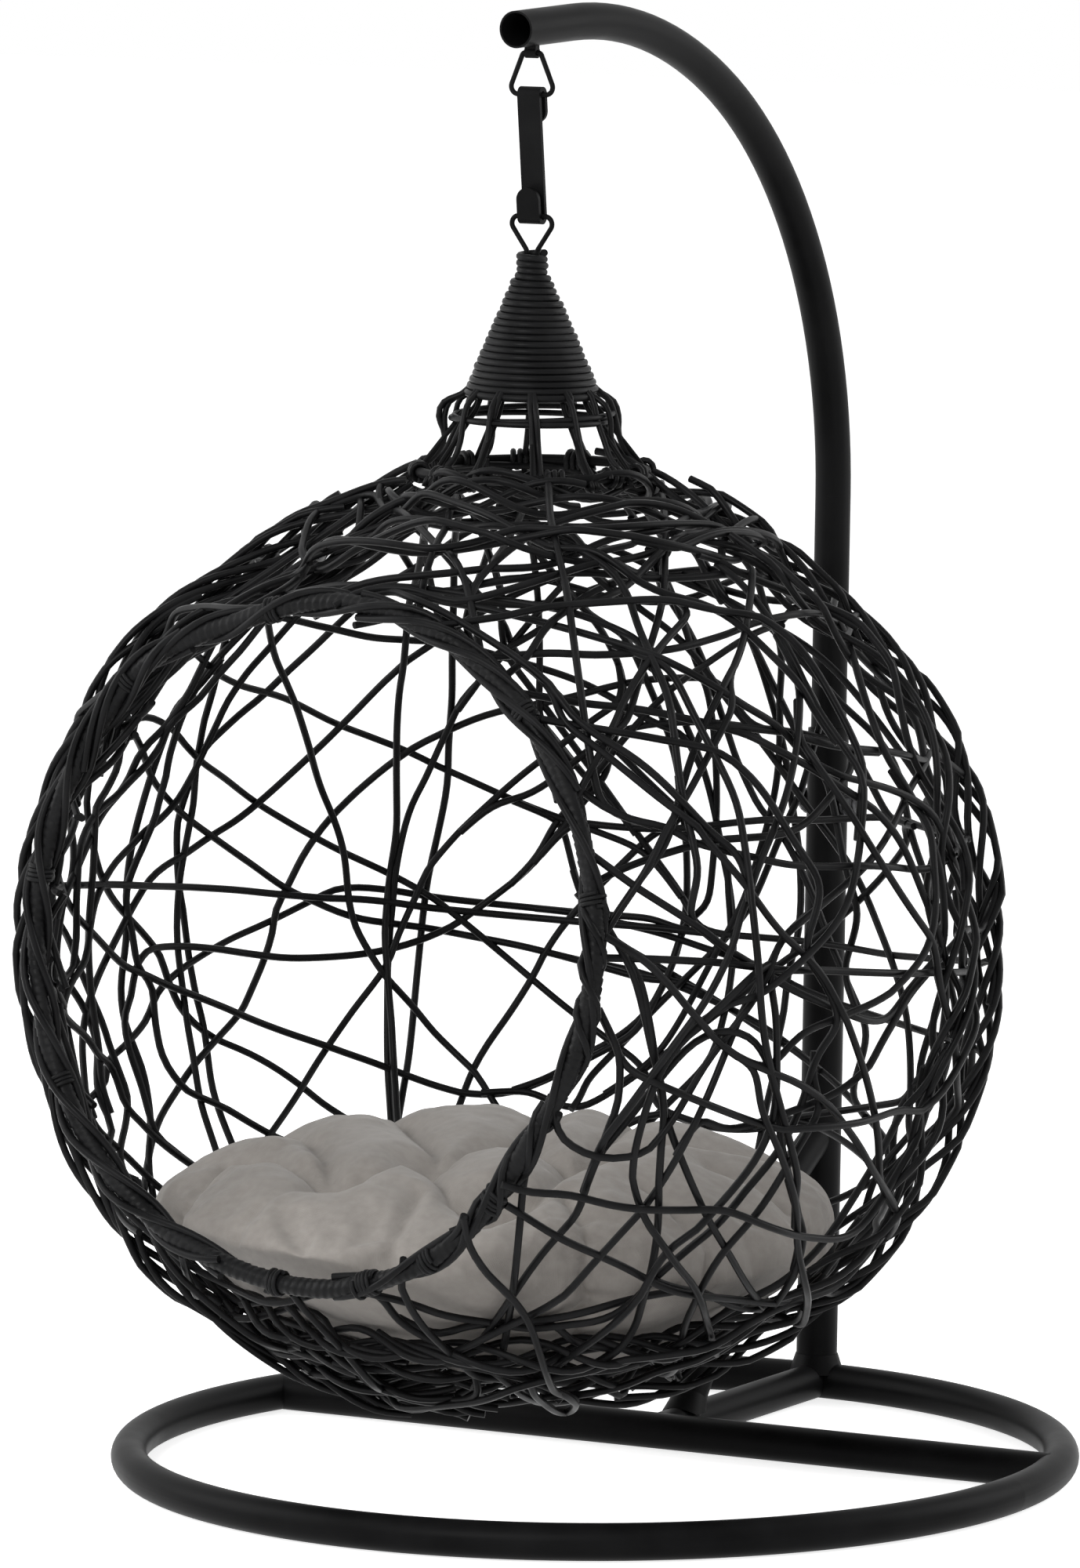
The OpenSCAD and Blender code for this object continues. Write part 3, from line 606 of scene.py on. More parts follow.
# Routes of strands: places in the 1378 x 2000 frame, u and v in turn, mostly 25 to 65 pixels apart
# Of the far wall, seen through the entrance
FAR_SEEN = (
    (520, 800, 514, 850, 509, 900, 505, 950, 505, 1010, 505, 1060, 500, 1110, 495, 1150, 490, 1190, 492, 1240,
     497, 1300, 501, 1350, 503, 1400),
    (578, 840, 577, 890, 573, 950, 570, 1000, 559, 1060, 547, 1120, 540, 1170, 534, 1230, 528, 1290,
     521, 1350, 512, 1405),
    (610, 870, 590, 895, 575, 925, 560, 955, 543, 990, 525, 1025, 512, 1065, 503, 1110, 500, 1150),
    (700, 960, 668, 985, 640, 1010, 605, 1042, 570, 1080, 545, 1112, 530, 1145, 508, 1192, 490, 1235,
     450, 1290, 420, 1335, 385, 1390, 350, 1440),
    (258, 842, 275, 857, 300, 870, 335, 882, 375, 897, 430, 925, 480, 946, 525, 962, 575, 984, 640, 1012,
     680, 1028, 722, 1043),
    (130, 948, 155, 936, 175, 924, 195, 920, 212, 925, 228, 936, 240, 952, 258, 972, 290, 995, 330, 1025,
     370, 1050, 400, 1067, 440, 1088, 500, 1116, 540, 1138, 565, 1155, 600, 1183, 640, 1216, 680, 1250,
     715, 1280, 748, 1305),
    (60, 1133, 100, 1130, 150, 1128, 200, 1130, 250, 1132, 300, 1135, 350, 1140, 410, 1145, 460, 1147,
     500, 1151, 550, 1158, 600, 1163, 650, 1168, 700, 1172, 745, 1176),
    (745, 1164, 700, 1160, 650, 1155, 600, 1150, 540, 1142, 500, 1136, 460, 1133, 430, 1136, 400, 1149,
     370, 1163, 330, 1182, 290, 1200, 250, 1222, 218, 1244, 195, 1268, 178, 1305, 155, 1335, 135, 1355,
     130, 1380, 112, 1405),
    (160, 905, 165, 925, 182, 958, 200, 1000, 232, 1037, 275, 1070, 320, 1102, 362, 1132, 400, 1150,
     430, 1163, 460, 1172, 500, 1178, 540, 1183, 580, 1190, 620, 1198, 660, 1205, 700, 1215, 745, 1227),
    (718, 1056, 690, 1092, 665, 1118, 640, 1136, 605, 1162, 575, 1182, 530, 1201, 480, 1214, 430, 1220,
     370, 1222, 320, 1217, 270, 1210, 230, 1207, 195, 1210, 180, 1220, 171, 1238, 167, 1270, 160, 1305,
     166, 1350, 182, 1400, 200, 1445, 222, 1466),
    (345, 792, 352, 835, 364, 868, 377, 905, 388, 940, 400, 978, 412, 1010, 426, 1045, 436, 1080, 442, 1115,
     446, 1150, 454, 1182, 470, 1215, 490, 1245, 510, 1266, 530, 1286, 556, 1315, 582, 1341, 607, 1368,
     625, 1398),
    (650, 905, 620, 914, 590, 925, 558, 939, 528, 955, 495, 980, 470, 1001, 445, 1022, 420, 1044, 400, 1066,
     382, 1093, 366, 1128, 352, 1160, 348, 1190, 340, 1220, 328, 1250, 312, 1282, 298, 1300, 270, 1330,
     246, 1360, 230, 1390, 214, 1420, 204, 1450),
    (770, 1125, 745, 1150, 722, 1175, 700, 1208, 680, 1246, 652, 1290, 622, 1333, 605, 1362, 594, 1388,
     588, 1405),
    (100, 1170, 115, 1190, 135, 1212, 158, 1232, 180, 1242, 210, 1257, 250, 1274, 300, 1294, 350, 1312,
     400, 1330, 440, 1343, 480, 1355, 520, 1370, 560, 1385, 600, 1396, 640, 1398, 680, 1388, 710, 1373,
     728, 1363),
    (116, 1050, 117, 1080, 121, 1110, 131, 1135, 147, 1156, 166, 1177, 182, 1197, 196, 1220, 206, 1250,
     225, 1283, 250, 1306, 275, 1323, 305, 1339, 340, 1360, 380, 1386, 422, 1414),
    (545, 822, 520, 840, 500, 860, 470, 890, 440, 920, 400, 961, 365, 994, 330, 1025, 300, 1050, 272, 1068,
     240, 1088, 210, 1105, 190, 1122, 172, 1148, 158, 1172),
    (390, 782, 370, 803, 342, 828, 312, 856, 288, 890, 274, 920, 260, 950, 246, 985, 228, 1020, 205, 1045,
     186, 1060, 168, 1080, 150, 1100, 131, 1130, 118, 1155, 108, 1183, 98, 1225, 88, 1250),
    (432, 798, 400, 828, 370, 855, 335, 886, 302, 910, 275, 934, 258, 955, 248, 985, 238, 1020, 230, 1050,
     228, 1090, 229, 1130, 235, 1160, 242, 1200, 247, 1240, 251, 1272, 258, 1310, 265, 1350, 272, 1390,
     288, 1442),
    (352, 787, 400, 793, 450, 801, 500, 811, 550, 822, 585, 829),
    (248, 860, 236, 880, 221, 903, 205, 925, 187, 945, 175, 967, 168, 992, 158, 1012, 138, 1036, 116, 1066,
     98, 1092, 84, 1122, 74, 1155),
    (272, 858, 250, 885, 230, 905, 211, 927, 204, 947, 192, 968, 178, 985, 162, 1002, 150, 1018, 128, 1042,
     110, 1070, 97, 1100, 93, 1140, 97, 1180, 98, 1212, 92, 1242, 65, 1257),
    (274, 858, 268, 890, 262, 920, 258, 950, 251, 985, 244, 1025, 236, 1065, 229, 1110, 227, 1150, 226, 1200,
     228, 1250, 232, 1300, 240, 1350, 250, 1400, 264, 1448),
    (160, 930, 158, 960, 150, 985, 135, 1010, 120, 1030, 115, 1055),
    (200, 1000, 194, 1022, 187, 1052, 179, 1082, 172, 1112, 167, 1150, 170, 1190, 174, 1230, 195, 1262,
     203, 1305, 210, 1345, 222, 1372, 238, 1392, 262, 1403, 290, 1415, 330, 1437),
    (158, 1172, 157, 1215, 158, 1260, 162, 1305, 172, 1350, 186, 1400, 194, 1440, 195, 1480),
    (65, 1155, 80, 1180, 95, 1205, 106, 1228, 116, 1253, 126, 1290, 136, 1330, 150, 1370, 160, 1400,
     160, 1430, 157, 1470, 166, 1502),
    (72, 1290, 95, 1320, 115, 1343, 136, 1357, 148, 1376, 158, 1400, 167, 1415, 182, 1430, 197, 1446,
     222, 1468),
    (85, 1250, 98, 1280, 110, 1310, 117, 1340, 116, 1370, 119, 1400, 131, 1425, 137, 1445, 132, 1475),
    (105, 1410, 125, 1435, 146, 1456, 167, 1477, 190, 1502),
    (92, 1000, 88, 1040, 89, 1080, 88, 1120, 84, 1145),
)
# Of the far wall, seen through the near wall
FAR_BEHIND = (
    (750, 1053, 800, 1057, 850, 1058, 900, 1054, 950, 1048, 1000, 1045, 1050, 1044, 1100, 1043, 1150, 1047,
     1192, 1056),
    (760, 1172, 800, 1180, 850, 1185, 900, 1190, 950, 1194, 1000, 1198, 1060, 1205, 1130, 1217, 1180, 1222),
    (800, 1180, 850, 1192, 900, 1210, 940, 1221, 980, 1236, 1015, 1257, 1060, 1277, 1100, 1291, 1150, 1306),
    (760, 1229, 790, 1233, 820, 1240, 850, 1252, 880, 1263, 920, 1281, 960, 1300, 990, 1320, 1022, 1345),
    (700, 1060, 745, 1008, 780, 960, 830, 905, 870, 870),
    (1005, 980, 1010, 1040, 1014, 1100, 1015, 1150, 1013, 1200, 1008, 1240, 1003, 1290, 992, 1330, 985, 1380),
    (718, 1050, 725, 1085, 735, 1120, 745, 1155, 770, 1190, 800, 1210),
    (905, 732, 925, 762, 945, 797, 960, 830, 980, 870, 1002, 905, 1022, 940),
    (850, 740, 870, 790, 886, 840, 900, 880, 907, 930),
    (760, 800, 790, 845, 800, 890, 785, 940, 760, 990, 738, 1030),
    (640, 830, 690, 800, 740, 765, 790, 742, 840, 733),
    (620, 700, 640, 760, 640, 800, 650, 840, 690, 895, 740, 960),
    (870, 1390, 905, 1345, 925, 1290, 932, 1240, 933, 1180, 930, 1130, 922, 1080),
    (745, 1345, 770, 1335, 805, 1316, 830, 1295, 850, 1262, 862, 1228, 870, 1188, 875, 1150, 878, 1100,
     878, 1060, 872, 1015),
    (730, 1420, 770, 1400, 810, 1370, 850, 1342, 890, 1310, 930, 1280, 965, 1255, 1000, 1230, 1040, 1200),
    (790, 1335, 830, 1290, 860, 1262, 890, 1232, 925, 1200, 960, 1150, 985, 1100),
    (1020, 1100, 1000, 1060, 965, 1020, 940, 975, 925, 930),
    (660, 1020, 700, 1000, 745, 960, 780, 935, 840, 925, 900, 925),
    (560, 700, 600, 745, 640, 790, 660, 840, 700, 880, 760, 930),
    (480, 660, 520, 720, 560, 780, 600, 820),
    (760, 1470, 790, 1440, 840, 1420, 900, 1435, 950, 1438, 1000, 1432),
)
# Of the near wall
NEAR = (
    (735, 1145, 750, 1132, 780, 1115, 820, 1098, 860, 1085, 900, 1075, 940, 1070, 985, 1067, 1012, 1064,
     1030, 1052, 1045, 1035),
    (900, 975, 882, 1010, 866, 1030, 848, 1060, 830, 1100, 810, 1135, 790, 1165, 775, 1190),
    (745, 1010, 770, 1027, 805, 1043, 850, 1055, 885, 1075, 925, 1086, 965, 1094, 1005, 1102, 1050, 1105,
     1100, 1105, 1150, 1107, 1190, 1107, 1210, 1096, 1230, 1080),
    (905, 950, 920, 985, 936, 1012, 945, 1050, 952, 1085, 956, 1115, 958, 1150, 961, 1195, 966, 1245,
     970, 1290, 977, 1335, 992, 1385, 1000, 1420),
    (1015, 960, 1003, 1015, 990, 1050, 976, 1080, 965, 1110, 955, 1140, 943, 1170, 930, 1210, 905, 1260,
     880, 1300, 850, 1340, 830, 1370),
    (770, 1222, 820, 1223, 870, 1225, 920, 1228, 960, 1233, 1000, 1237, 1050, 1238, 1100, 1240, 1150, 1241,
     1200, 1240, 1250, 1237, 1272, 1235),
    (785, 1203, 820, 1226, 850, 1255, 872, 1281, 895, 1305, 915, 1326, 945, 1350, 985, 1368, 1022, 1384,
     1060, 1412, 1090, 1450, 1110, 1490, 1135, 1530, 1140, 1565),
    (768, 1100, 810, 1130, 850, 1155, 880, 1173, 910, 1193, 940, 1215, 975, 1235, 1010, 1262, 1040, 1275),
    (765, 1165, 785, 1200, 805, 1240, 820, 1290, 832, 1340, 842, 1380, 845, 1420, 840, 1460, 836, 1510,
     838, 1560, 835, 1605, 828, 1640),
    (800, 985, 830, 1010, 850, 1027, 880, 1042, 900, 1068, 925, 1098, 950, 1130, 977, 1165, 1002, 1192,
     1030, 1218, 1052, 1248, 1072, 1290, 1092, 1340, 1110, 1385, 1120, 1430),
    (700, 790, 750, 805, 800, 826, 850, 851, 900, 878, 950, 904, 1000, 927, 1040, 963, 1080, 985, 1110, 995,
     1150, 1010, 1180, 1035, 1202, 1072),
    (700, 735, 750, 733, 800, 735, 850, 732, 900, 732, 950, 736, 1000, 746, 1050, 768),
    (720, 695, 750, 710, 780, 727, 800, 752, 815, 790, 826, 820, 836, 850, 846, 882, 856, 930, 863, 975,
     872, 1012),
    (660, 835, 700, 832, 760, 835, 820, 831, 870, 824, 920, 808, 960, 795, 1000, 792, 1045, 788),
    (600, 790, 650, 782, 700, 771, 750, 767, 800, 768, 850, 770, 900, 777, 950, 785, 982, 796, 1010, 816,
     1040, 850, 1062, 885),
    (955, 775, 945, 830, 925, 870, 906, 910, 890, 950, 878, 990),
    (680, 885, 740, 891, 790, 898, 850, 910, 900, 920, 950, 926, 1005, 932, 1060, 950, 1110, 955, 1150, 960),
    (690, 918, 750, 928, 800, 937, 850, 945, 900, 956, 932, 975, 965, 1005, 990, 1040),
    (835, 835, 815, 860, 798, 890, 785, 920, 766, 960, 742, 1005),
    (840, 640, 848, 690, 850, 735, 845, 770, 838, 800, 822, 848),
    (700, 620, 702, 660, 712, 705, 722, 750, 730, 800, 736, 850, 742, 895),
    (703, 1395, 712, 1440, 730, 1460, 762, 1473, 800, 1473, 828, 1463, 850, 1443, 880, 1400, 900, 1360,
     930, 1318),
    (770, 1300, 788, 1345, 786, 1400, 775, 1432, 762, 1470, 748, 1508, 735, 1545, 716, 1575, 692, 1605,
     667, 1633, 648, 1658, 630, 1688),
    (890, 1310, 855, 1345, 830, 1395, 818, 1430, 808, 1480, 812, 1520, 825, 1558, 842, 1582, 862, 1610,
     886, 1642, 900, 1680, 915, 1725),
    (836, 1340, 846, 1400, 852, 1432, 866, 1470, 886, 1518, 905, 1558, 930, 1600, 950, 1635, 975, 1668),
    (640, 1512, 680, 1525, 730, 1530, 780, 1540, 830, 1547, 880, 1550, 930, 1548, 980, 1562, 1025, 1577,
     1060, 1580, 1085, 1576, 1110, 1560, 1130, 1535),
    (645, 1540, 700, 1575, 750, 1600, 800, 1625, 850, 1646, 900, 1655, 960, 1665, 1010, 1662),
    (676, 1470, 668, 1510, 663, 1560, 658, 1610, 653, 1660, 646, 1705),
    (592, 1552, 600, 1590, 622, 1628, 650, 1658, 676, 1690, 692, 1735),
    (515, 1605, 514, 1640, 530, 1670, 562, 1712),
    (440, 1632, 470, 1641, 520, 1655, 570, 1680, 620, 1692, 680, 1698, 730, 1690, 782, 1672, 830, 1640,
     870, 1612, 902, 1580, 932, 1545, 962, 1510, 992, 1478, 1010, 1440),
    (372, 1652, 395, 1685, 425, 1722),
    (620, 1710, 660, 1690, 700, 1668, 750, 1620, 790, 1580, 825, 1540, 848, 1500, 868, 1460, 888, 1420,
     915, 1370),
    (690, 1690, 740, 1680, 790, 1662, 850, 1655, 900, 1650, 960, 1667, 1010, 1668),
    (730, 1735, 770, 1700, 810, 1660, 850, 1600, 905, 1560, 960, 1500, 985, 1440, 990, 1380),
    (840, 1725, 880, 1700, 930, 1675, 975, 1652, 1015, 1615, 1050, 1585, 1080, 1545, 1110, 1500),
    (1000, 1488, 1012, 1530, 1020, 1580, 1024, 1630, 1030, 1665),
    (1000, 1500, 960, 1560, 925, 1590, 895, 1640, 880, 1690, 870, 1735),
    (850, 1365, 880, 1322, 912, 1308, 945, 1310, 962, 1325, 975, 1360, 988, 1400, 990, 1450, 1000, 1485),
    (1090, 1050, 1110, 1085, 1140, 1130, 1170, 1172, 1192, 1205, 1205, 1260, 1215, 1300),
    (1065, 1000, 1100, 1025, 1130, 1050, 1152, 1085, 1170, 1120, 1188, 1160),
    (1175, 990, 1150, 1030, 1122, 1075, 1095, 1115, 1062, 1145),
    (1005, 812, 1025, 850, 1042, 885, 1060, 920, 1095, 990, 1100, 1040, 1097, 1100, 1086, 1150, 1065, 1185,
     1035, 1215),
    (1090, 830, 1100, 880, 1112, 920, 1130, 960, 1160, 1000, 1190, 1050, 1200, 1110),
    (1120, 840, 1142, 880, 1165, 920, 1180, 970, 1195, 1010, 1215, 1060),
    (1100, 1290, 1130, 1275, 1160, 1240, 1185, 1200, 1192, 1150),
    (1010, 1420, 1060, 1400, 1100, 1370, 1130, 1320, 1165, 1270, 1200, 1230),
    (930, 1420, 985, 1440, 1040, 1435, 1100, 1428, 1150, 1420, 1185, 1415, 1210, 1380),
    (660, 690, 700, 665, 760, 655, 820, 650, 880, 660, 940, 690),
    (560, 660, 610, 672, 660, 668, 720, 665, 780, 660, 840, 668, 900, 690, 960, 720),
    (470, 690, 530, 700, 600, 690, 660, 675, 720, 680, 790, 680, 850, 672),
    (500, 745, 560, 735, 620, 722, 700, 716, 780, 690, 850, 680, 900, 650),
    (380, 735, 450, 742, 520, 745, 580, 755, 650, 765, 700, 775),
    (600, 640, 650, 665, 700, 695, 750, 705, 800, 730, 850, 755, 910, 770, 950, 800),
    (505, 632, 530, 655, 560, 690, 590, 735, 605, 790),
    (580, 620, 570, 660, 560, 700, 545, 740, 535, 785),
    (430, 780, 470, 755, 520, 748, 580, 760, 640, 750, 690, 735),
    (650, 860, 672, 840, 700, 800, 740, 770, 800, 740, 850, 700, 880, 680),
    (600, 800, 650, 830, 690, 860, 720, 900, 750, 935, 800, 960, 850, 1000),
    (480, 1786, 560, 1799, 620, 1803, 680, 1796, 740, 1783, 800, 1768, 850, 1746, 900, 1727, 945, 1706,
     985, 1676, 1006, 1640),
    (520, 1772, 600, 1770, 650, 1766, 700, 1779, 750, 1792, 800, 1784, 850, 1768, 895, 1751, 940, 1722,
     978, 1694, 1020, 1660),
    (560, 1797, 640, 1772, 680, 1762, 720, 1758, 760, 1753, 800, 1738, 860, 1722, 910, 1712, 965, 1688,
     1010, 1672),
    (590, 1738, 625, 1752, 660, 1776, 700, 1798, 760, 1796, 820, 1776, 870, 1757),
    (905, 1690, 914, 1718, 912, 1740, 893, 1758, 865, 1748, 838, 1729, 800, 1722),
    (660, 1762, 695, 1766, 725, 1776, 736, 1796, 722, 1806, 704, 1800),
    (205, 1580, 240, 1612, 280, 1638, 320, 1653, 360, 1659, 400, 1656, 440, 1648),
    (215, 1610, 250, 1640, 290, 1664, 330, 1686, 370, 1703, 420, 1714),
)
# The bundle under the entrance, from the left to the right edge
FOOT_LINE = (225, 1640, 285, 1682, 345, 1704, 400, 1722, 500, 1735, 600, 1738, 700, 1739, 800, 1736,
             880, 1724, 940, 1706, 990, 1680, 1020, 1655)
# Rings of bundles at the ball's bottom and back: azimuths, angle from straight down and tilt; then strands
BOTTOM_RINGS = (((55, 250, 33.5, 1.2), 5), ((240, 420, 33.5, 2.5), 2), ((40, 285, 30, -1.5), 5),
                ((280, 400, 28, -2.5), 1), ((60, 290, 26.5, 2.0), 5), ((20, 300, 23, -2.0), 4),
                ((300, 385, 21, 2.5), 1), ((35, 300, 19, 2.0), 4), ((40, 310, 14, 1.5), 4),
                ((60, 300, 9, 1.0), 3))
BACK_RINGS = (((20, 160, 128, 5.0), 2), ((-20, 200, 146, 4.0), 2), ((150, 400, 150, -3.0), 2))
# The same round the crown, with the angle from its axis
CROWN_RINGS = (((0, 360, 14.6, 0.3), 2), ((200, 520, 17.2, 1.4), 2), ((40, 330, 21.5, -2.4), 2))
# How the strands of a bundle lie: spread, twists, and depths in the wall
BOTTOM_LAY, BACK_LAY = (0.0065, 3, (0.0, 0.6)), (0.012, 3, (0.35, 1.0))
CROWN_LAY, FOOT_LAY = (0.005, 4, (0.1, 0.8)), (0.0045, 4, (0.1, 0.7))
OUTLINE_LAY = (0.012, 4, (0.35, 1.0))
# Bundles along the ball's outline: from and to angle, and lean to the camera; then strands and lay
OUTLINE = (((101, 264, 1), 8, 0.0065, 3.5, (0.2, 0.9)), ((99, 160, 15), 8, 0.009, 1.6, (0.1, 0.7)),
           ((80, -86, 3), 5, 0.010, 6, (0.35, 1.0)), ((70, -58, 21), 3), ((60, -60, -20), 3))

# How far strands run on past their last pixel: on the far wall less past the entrance's right edge
RUN_ON_SEEN, RUN_ON_SEEN_RIGHT, RIGHT_EDGE_U = 0.14, 0.05, 690
RUN_ON_BEHIND, RUN_ON_NEAR = 0.12, 0.05
# Random strands that fill up the net: how many, and their shortest and longest run
TOP_FILL, BACK_CROWN_FILL, BACK_FILL = (7, (0.12, 0.32)), (6, (0.25, 0.50)), (5, (0.30, 0.60))
EDGE_ON_FILL, STRIP_FILL = (16, (0.18, 0.45)), (24, (0.06, 0.17))

# Where the rim runs inside or outside its round: angle, offset and width, in degrees and millimetres
RIM_BENDS = ((-148, -11.0, 21), (-75, -2.0, 14), (70, -3.5, 12), (112, 2.5, 22), (50, 3.0, 12),
             (176, -2.5, 22))
# Bindings round the rim: turns, and angle round the rim in degrees
RIM_TIES = ((4.2, -135), (3.4, -118), (5.0, -105), (3.6, -86), (3.4, 134), (3.0, 46), (3.4, 8), (3.0, 168),
            (2.6, -28), (3.0, 78))
RIM_TIE_R, RIM_TIE_PITCH, RIM_TIE_D = RIM_BAND_R + 1.6 * MM, 2.6 * MM, 2.8 * MM
# Strands beside the rim: from and to angle, strands, seed, gap from its centreline in millimetres, twists
RIM_COMPANIONS = ((96, 262, 2, 5, 6.6, 3.5), (205, 236, 2, 9, 6.6, 1.5), (28, 150, 2, 6, 6.6, 3.0),
                  (168, 196, 2, 8, 6.6, 1.6), (-75, 60, 3, 7, 7.4, 3.2))


def rim_reach(degrees):
    """The rim's radius at an angle round it: a bent hoop, not a true circle."""
    out = RIM_R
    for at, offset, width in RIM_BENDS:
        out += offset * MM * bell((degrees - at + 180.0) % 360.0 - 180.0, width)
    return out


def rim_frame(degrees):
    """The rim's centreline at an angle round it, and the way out from its middle there."""
    a = math.radians(degrees)
    out = RIM_SIDE * math.cos(a) + RIM_UP * math.sin(a)
    sway = ripple(math.cos(a) * 2.2, math.sin(a) * 2.2, 8.0) * 2.4 * MM
    return RIM_C + out * rim_reach(degrees) + RIM_N * sway, out


def about_rim(frame_there, radius, phi):
    """A point off the rim's centreline, at an angle phi round it."""
    at, out = frame_there
    return at + out * (radius * math.cos(phi)) + RIM_N * (radius * math.sin(phi))


def rim_tie(turns, around, seed):
    """A short, tight helix of strand round the rim, at an angle round it, in degrees."""
    points = []
    count = int(turns * 14)
    for i in range(count + 1):
        s = i / count
        r = RIM_TIE_R + 1.4 * MM * ripple(s * 6.0, seed * 3.0, 0.0)
        place = around + math.degrees((s - 0.5) * RIM_TIE_PITCH * turns / RIM_R)
        points.append(about_rim(rim_frame(place), r, math.tau * turns * s + seed))
    return points


def rim_companions(start, stop, count, seed, gap, twists):
    """Strands that run along the rim's winding and twist about it."""
    rng = random.Random(seed)
    paths = []
    steps = max(6, int(math.radians(abs(stop - start)) * RIM_R / STEP))
    for k in range(count):
        phase = math.tau * k / count + rng.uniform(-0.3, 0.3)
        path = []
        for i in range(steps + 1):
            r = gap * MM * (1.0 + 0.35 * ripple(i * 0.13, seed + k * 2.7, 5.0))
            phi = phase + math.tau * twists * i / steps
            path.append(about_rim(rim_frame(start + (stop - start) * i / steps), r, -phi))
        paths.append(path)
    return paths


def rim_winding():
    """The rim's band: flat wicker, wound on the slant and not evenly, each turn lapping over the last."""
    pitch, around, per = 5.2 * MM, 16, 6
    turns = round(math.tau * RIM_R / pitch)
    rows = turns * per
    bm = bmesh.new()
    grid = []
    for i in range(rows):
        there = rim_frame(360.0 * i / rows)
        row = []
        for j in range(around):
            phi = math.tau * j / around
            place = i / per + 1.6 * j / around
            lap = place - math.floor(place)
            loose = ripple(math.floor(place) % turns * 3.7, 2.0, 0.0)
            lump = ripple(i / per * 0.21, math.cos(phi), math.sin(phi))
            r = RIM_BAND_R + MM * (0.9 * min(lap / 0.2, 1.0) * (1.0 - 0.7 * lap) + 0.45 * loose + 0.9 * lump)
            row.append(bm.verts.new(about_rim(there, r, phi)))
        grid.append(row)
    for i in range(rows):
        n = (i + 1) % rows
        for j in range(around):
            k = (j + 1) % around
            bm.faces.new((grid[i][j], grid[n][j], grid[n][k], grid[i][k]))
    obj = from_bmesh("rim_winding", bm)
    smooth_shaded(obj)
    assign(obj, flat_wicker)
    return obj


def cone_winding():
    """One strand wound from the collar down the cone, in close turns."""
    out = []
    per = 30
    collar = (COLLAR_TOP_Z - CONE_TOP_Z) / WRAP_PITCH
    slope = (CONE_TOP_Z - CONE_FOOT_Z) / WRAP_PITCH
    for i in range(int((collar + slope) * per) + 1):
        t = i / per
        s = max(0.0, (t - collar) / slope)
        r = CONE_TOP_R + (CONE_FOOT_R - CONE_TOP_R) * s ** 0.93
        r += 0.0006 * ripple(t * 2.1, 5.0, 0.0) * 2
        out.append(round_axis(r, math.tau * t + 0.6, COLLAR_TOP_Z - t * WRAP_PITCH))
    return out


# A neck strand from the cone to the crown hoop: height, radius, whether it bulges, and share of its lean
NECK_LOOPS = 12
NECK_PROFILE = ((0.6600, 0.0360, 0, 0.0), (0.6555, 0.0410, 0, 0.1), (0.6505, 0.0462, 1, 0.3),
                (0.6420, 0.0490, 1, 0.6), (0.6300, 0.0515, 0, 0.8), (0.6190, 0.0570, 0, 1.0),
                (0.6110, 0.0665, 0, 1.0), (0.6050, 0.0715, 0, 1.05), (0.6040, 0.0670, 0, 1.1),
                (0.6070, 0.0625, 0, 1.1), (0.6115, 0.0625, 0, 1.1))
NECK_STRAND_D = 3.6 * MM
# The ring inside them, which goes round twice, and the turns that tie each loop to the crown hoop
NECK_RING_Z, NECK_RING_R, NECK_RING_STEPS = 0.6420, 0.0468, 72
NECK_TIE_R, NECK_TIE_PITCH = 5.0 * MM, 4.2 * MM


def neck_weave():
    """Doubled strands from the cone's foot that bulge outward, come down and tie round the crown hoop."""
    rng = random.Random(41)
    paths = []
    for k in range(NECK_LOOPS):
        a = math.tau * k / NECK_LOOPS + rng.uniform(-0.05, 0.05)
        for twin in (-0.03, 0.03):
            lean = rng.uniform(-0.10, 0.10)
            puff = rng.uniform(0.9, 1.15)
            knots = [round_axis(r * puff ** bulge, a + twin + lean * share, z)
                     for z, r, bulge, share in NECK_PROFILE]
            paths.append(spline(knots, 0.004))
    ring = []
    for i in range(2 * NECK_RING_STEPS + 1):
        b = math.tau * i / NECK_RING_STEPS
        ring.append(round_axis(NECK_RING_R + 0.0012 * math.sin(b * 1.5), b,
                               NECK_RING_Z + 0.0022 * math.sin(b * 0.5 + 1.0)))
    return paths + [ring]


def neck_knots():
    """Turns of strand round the crown hoop beside each loop."""
    rng = random.Random(7)
    paths = []
    for k in range(NECK_LOOPS):
        a0 = math.tau * (k + 0.18) / NECK_LOOPS + rng.uniform(-0.08, 0.08)
        turns = rng.choice((1.6, 2.2, 2.8))
        count = int(turns * 12)
        path = []
        for i in range(count + 1):
            s = i / count
            phi = math.tau * turns * s
            turned = a0 + s * turns * NECK_TIE_PITCH / CROWN_R
            path.append(round_axis(CROWN_R + NECK_TIE_R * math.cos(phi), turned,
                                   CROWN_Z + NECK_TIE_R * math.sin(phi)))
        paths.append(path)
    return paths


SWEEP = sweep_tree()
make_camera()

coat, zinc = powder_coat(), zinc_plate()
round_wicker = wicker("round_wicker", (0.0035, 0.0035, 0.0038), (0.0105, 0.0105, 0.0110), 0.30, 0.50)
flat_wicker = wicker("flat_wicker", (0.0050, 0.0050, 0.0053), (0.0120, 0.0120, 0.0125), 0.34, 0.55)
cloth = cushion_cloth()

FINISHES = ((coat, "base_ring crossbar base_spine brace_tube lower_post weld_beads arm_tube hanger_eye "
                   "upper_link s_hook lower_link crown_boss crown_rods crown_hoop rim_hoop floor_hoop"),
            (zinc, "arm_bolt bolt_washers cap_nut"),
            (round_wicker, "frame_ribs belt_hoop crown_rings floor_rings neck_loops neck_ring "
                           "weave_1 weave_2 weave_3 weave_4 weave_5"),
            (flat_wicker, "cone_wrap rim_wrap"),
            (cloth, "cushion_cover cushion_fill"))
for finish, names in FINISHES:
    for name in names.split():
        assign(nodes[name], finish)


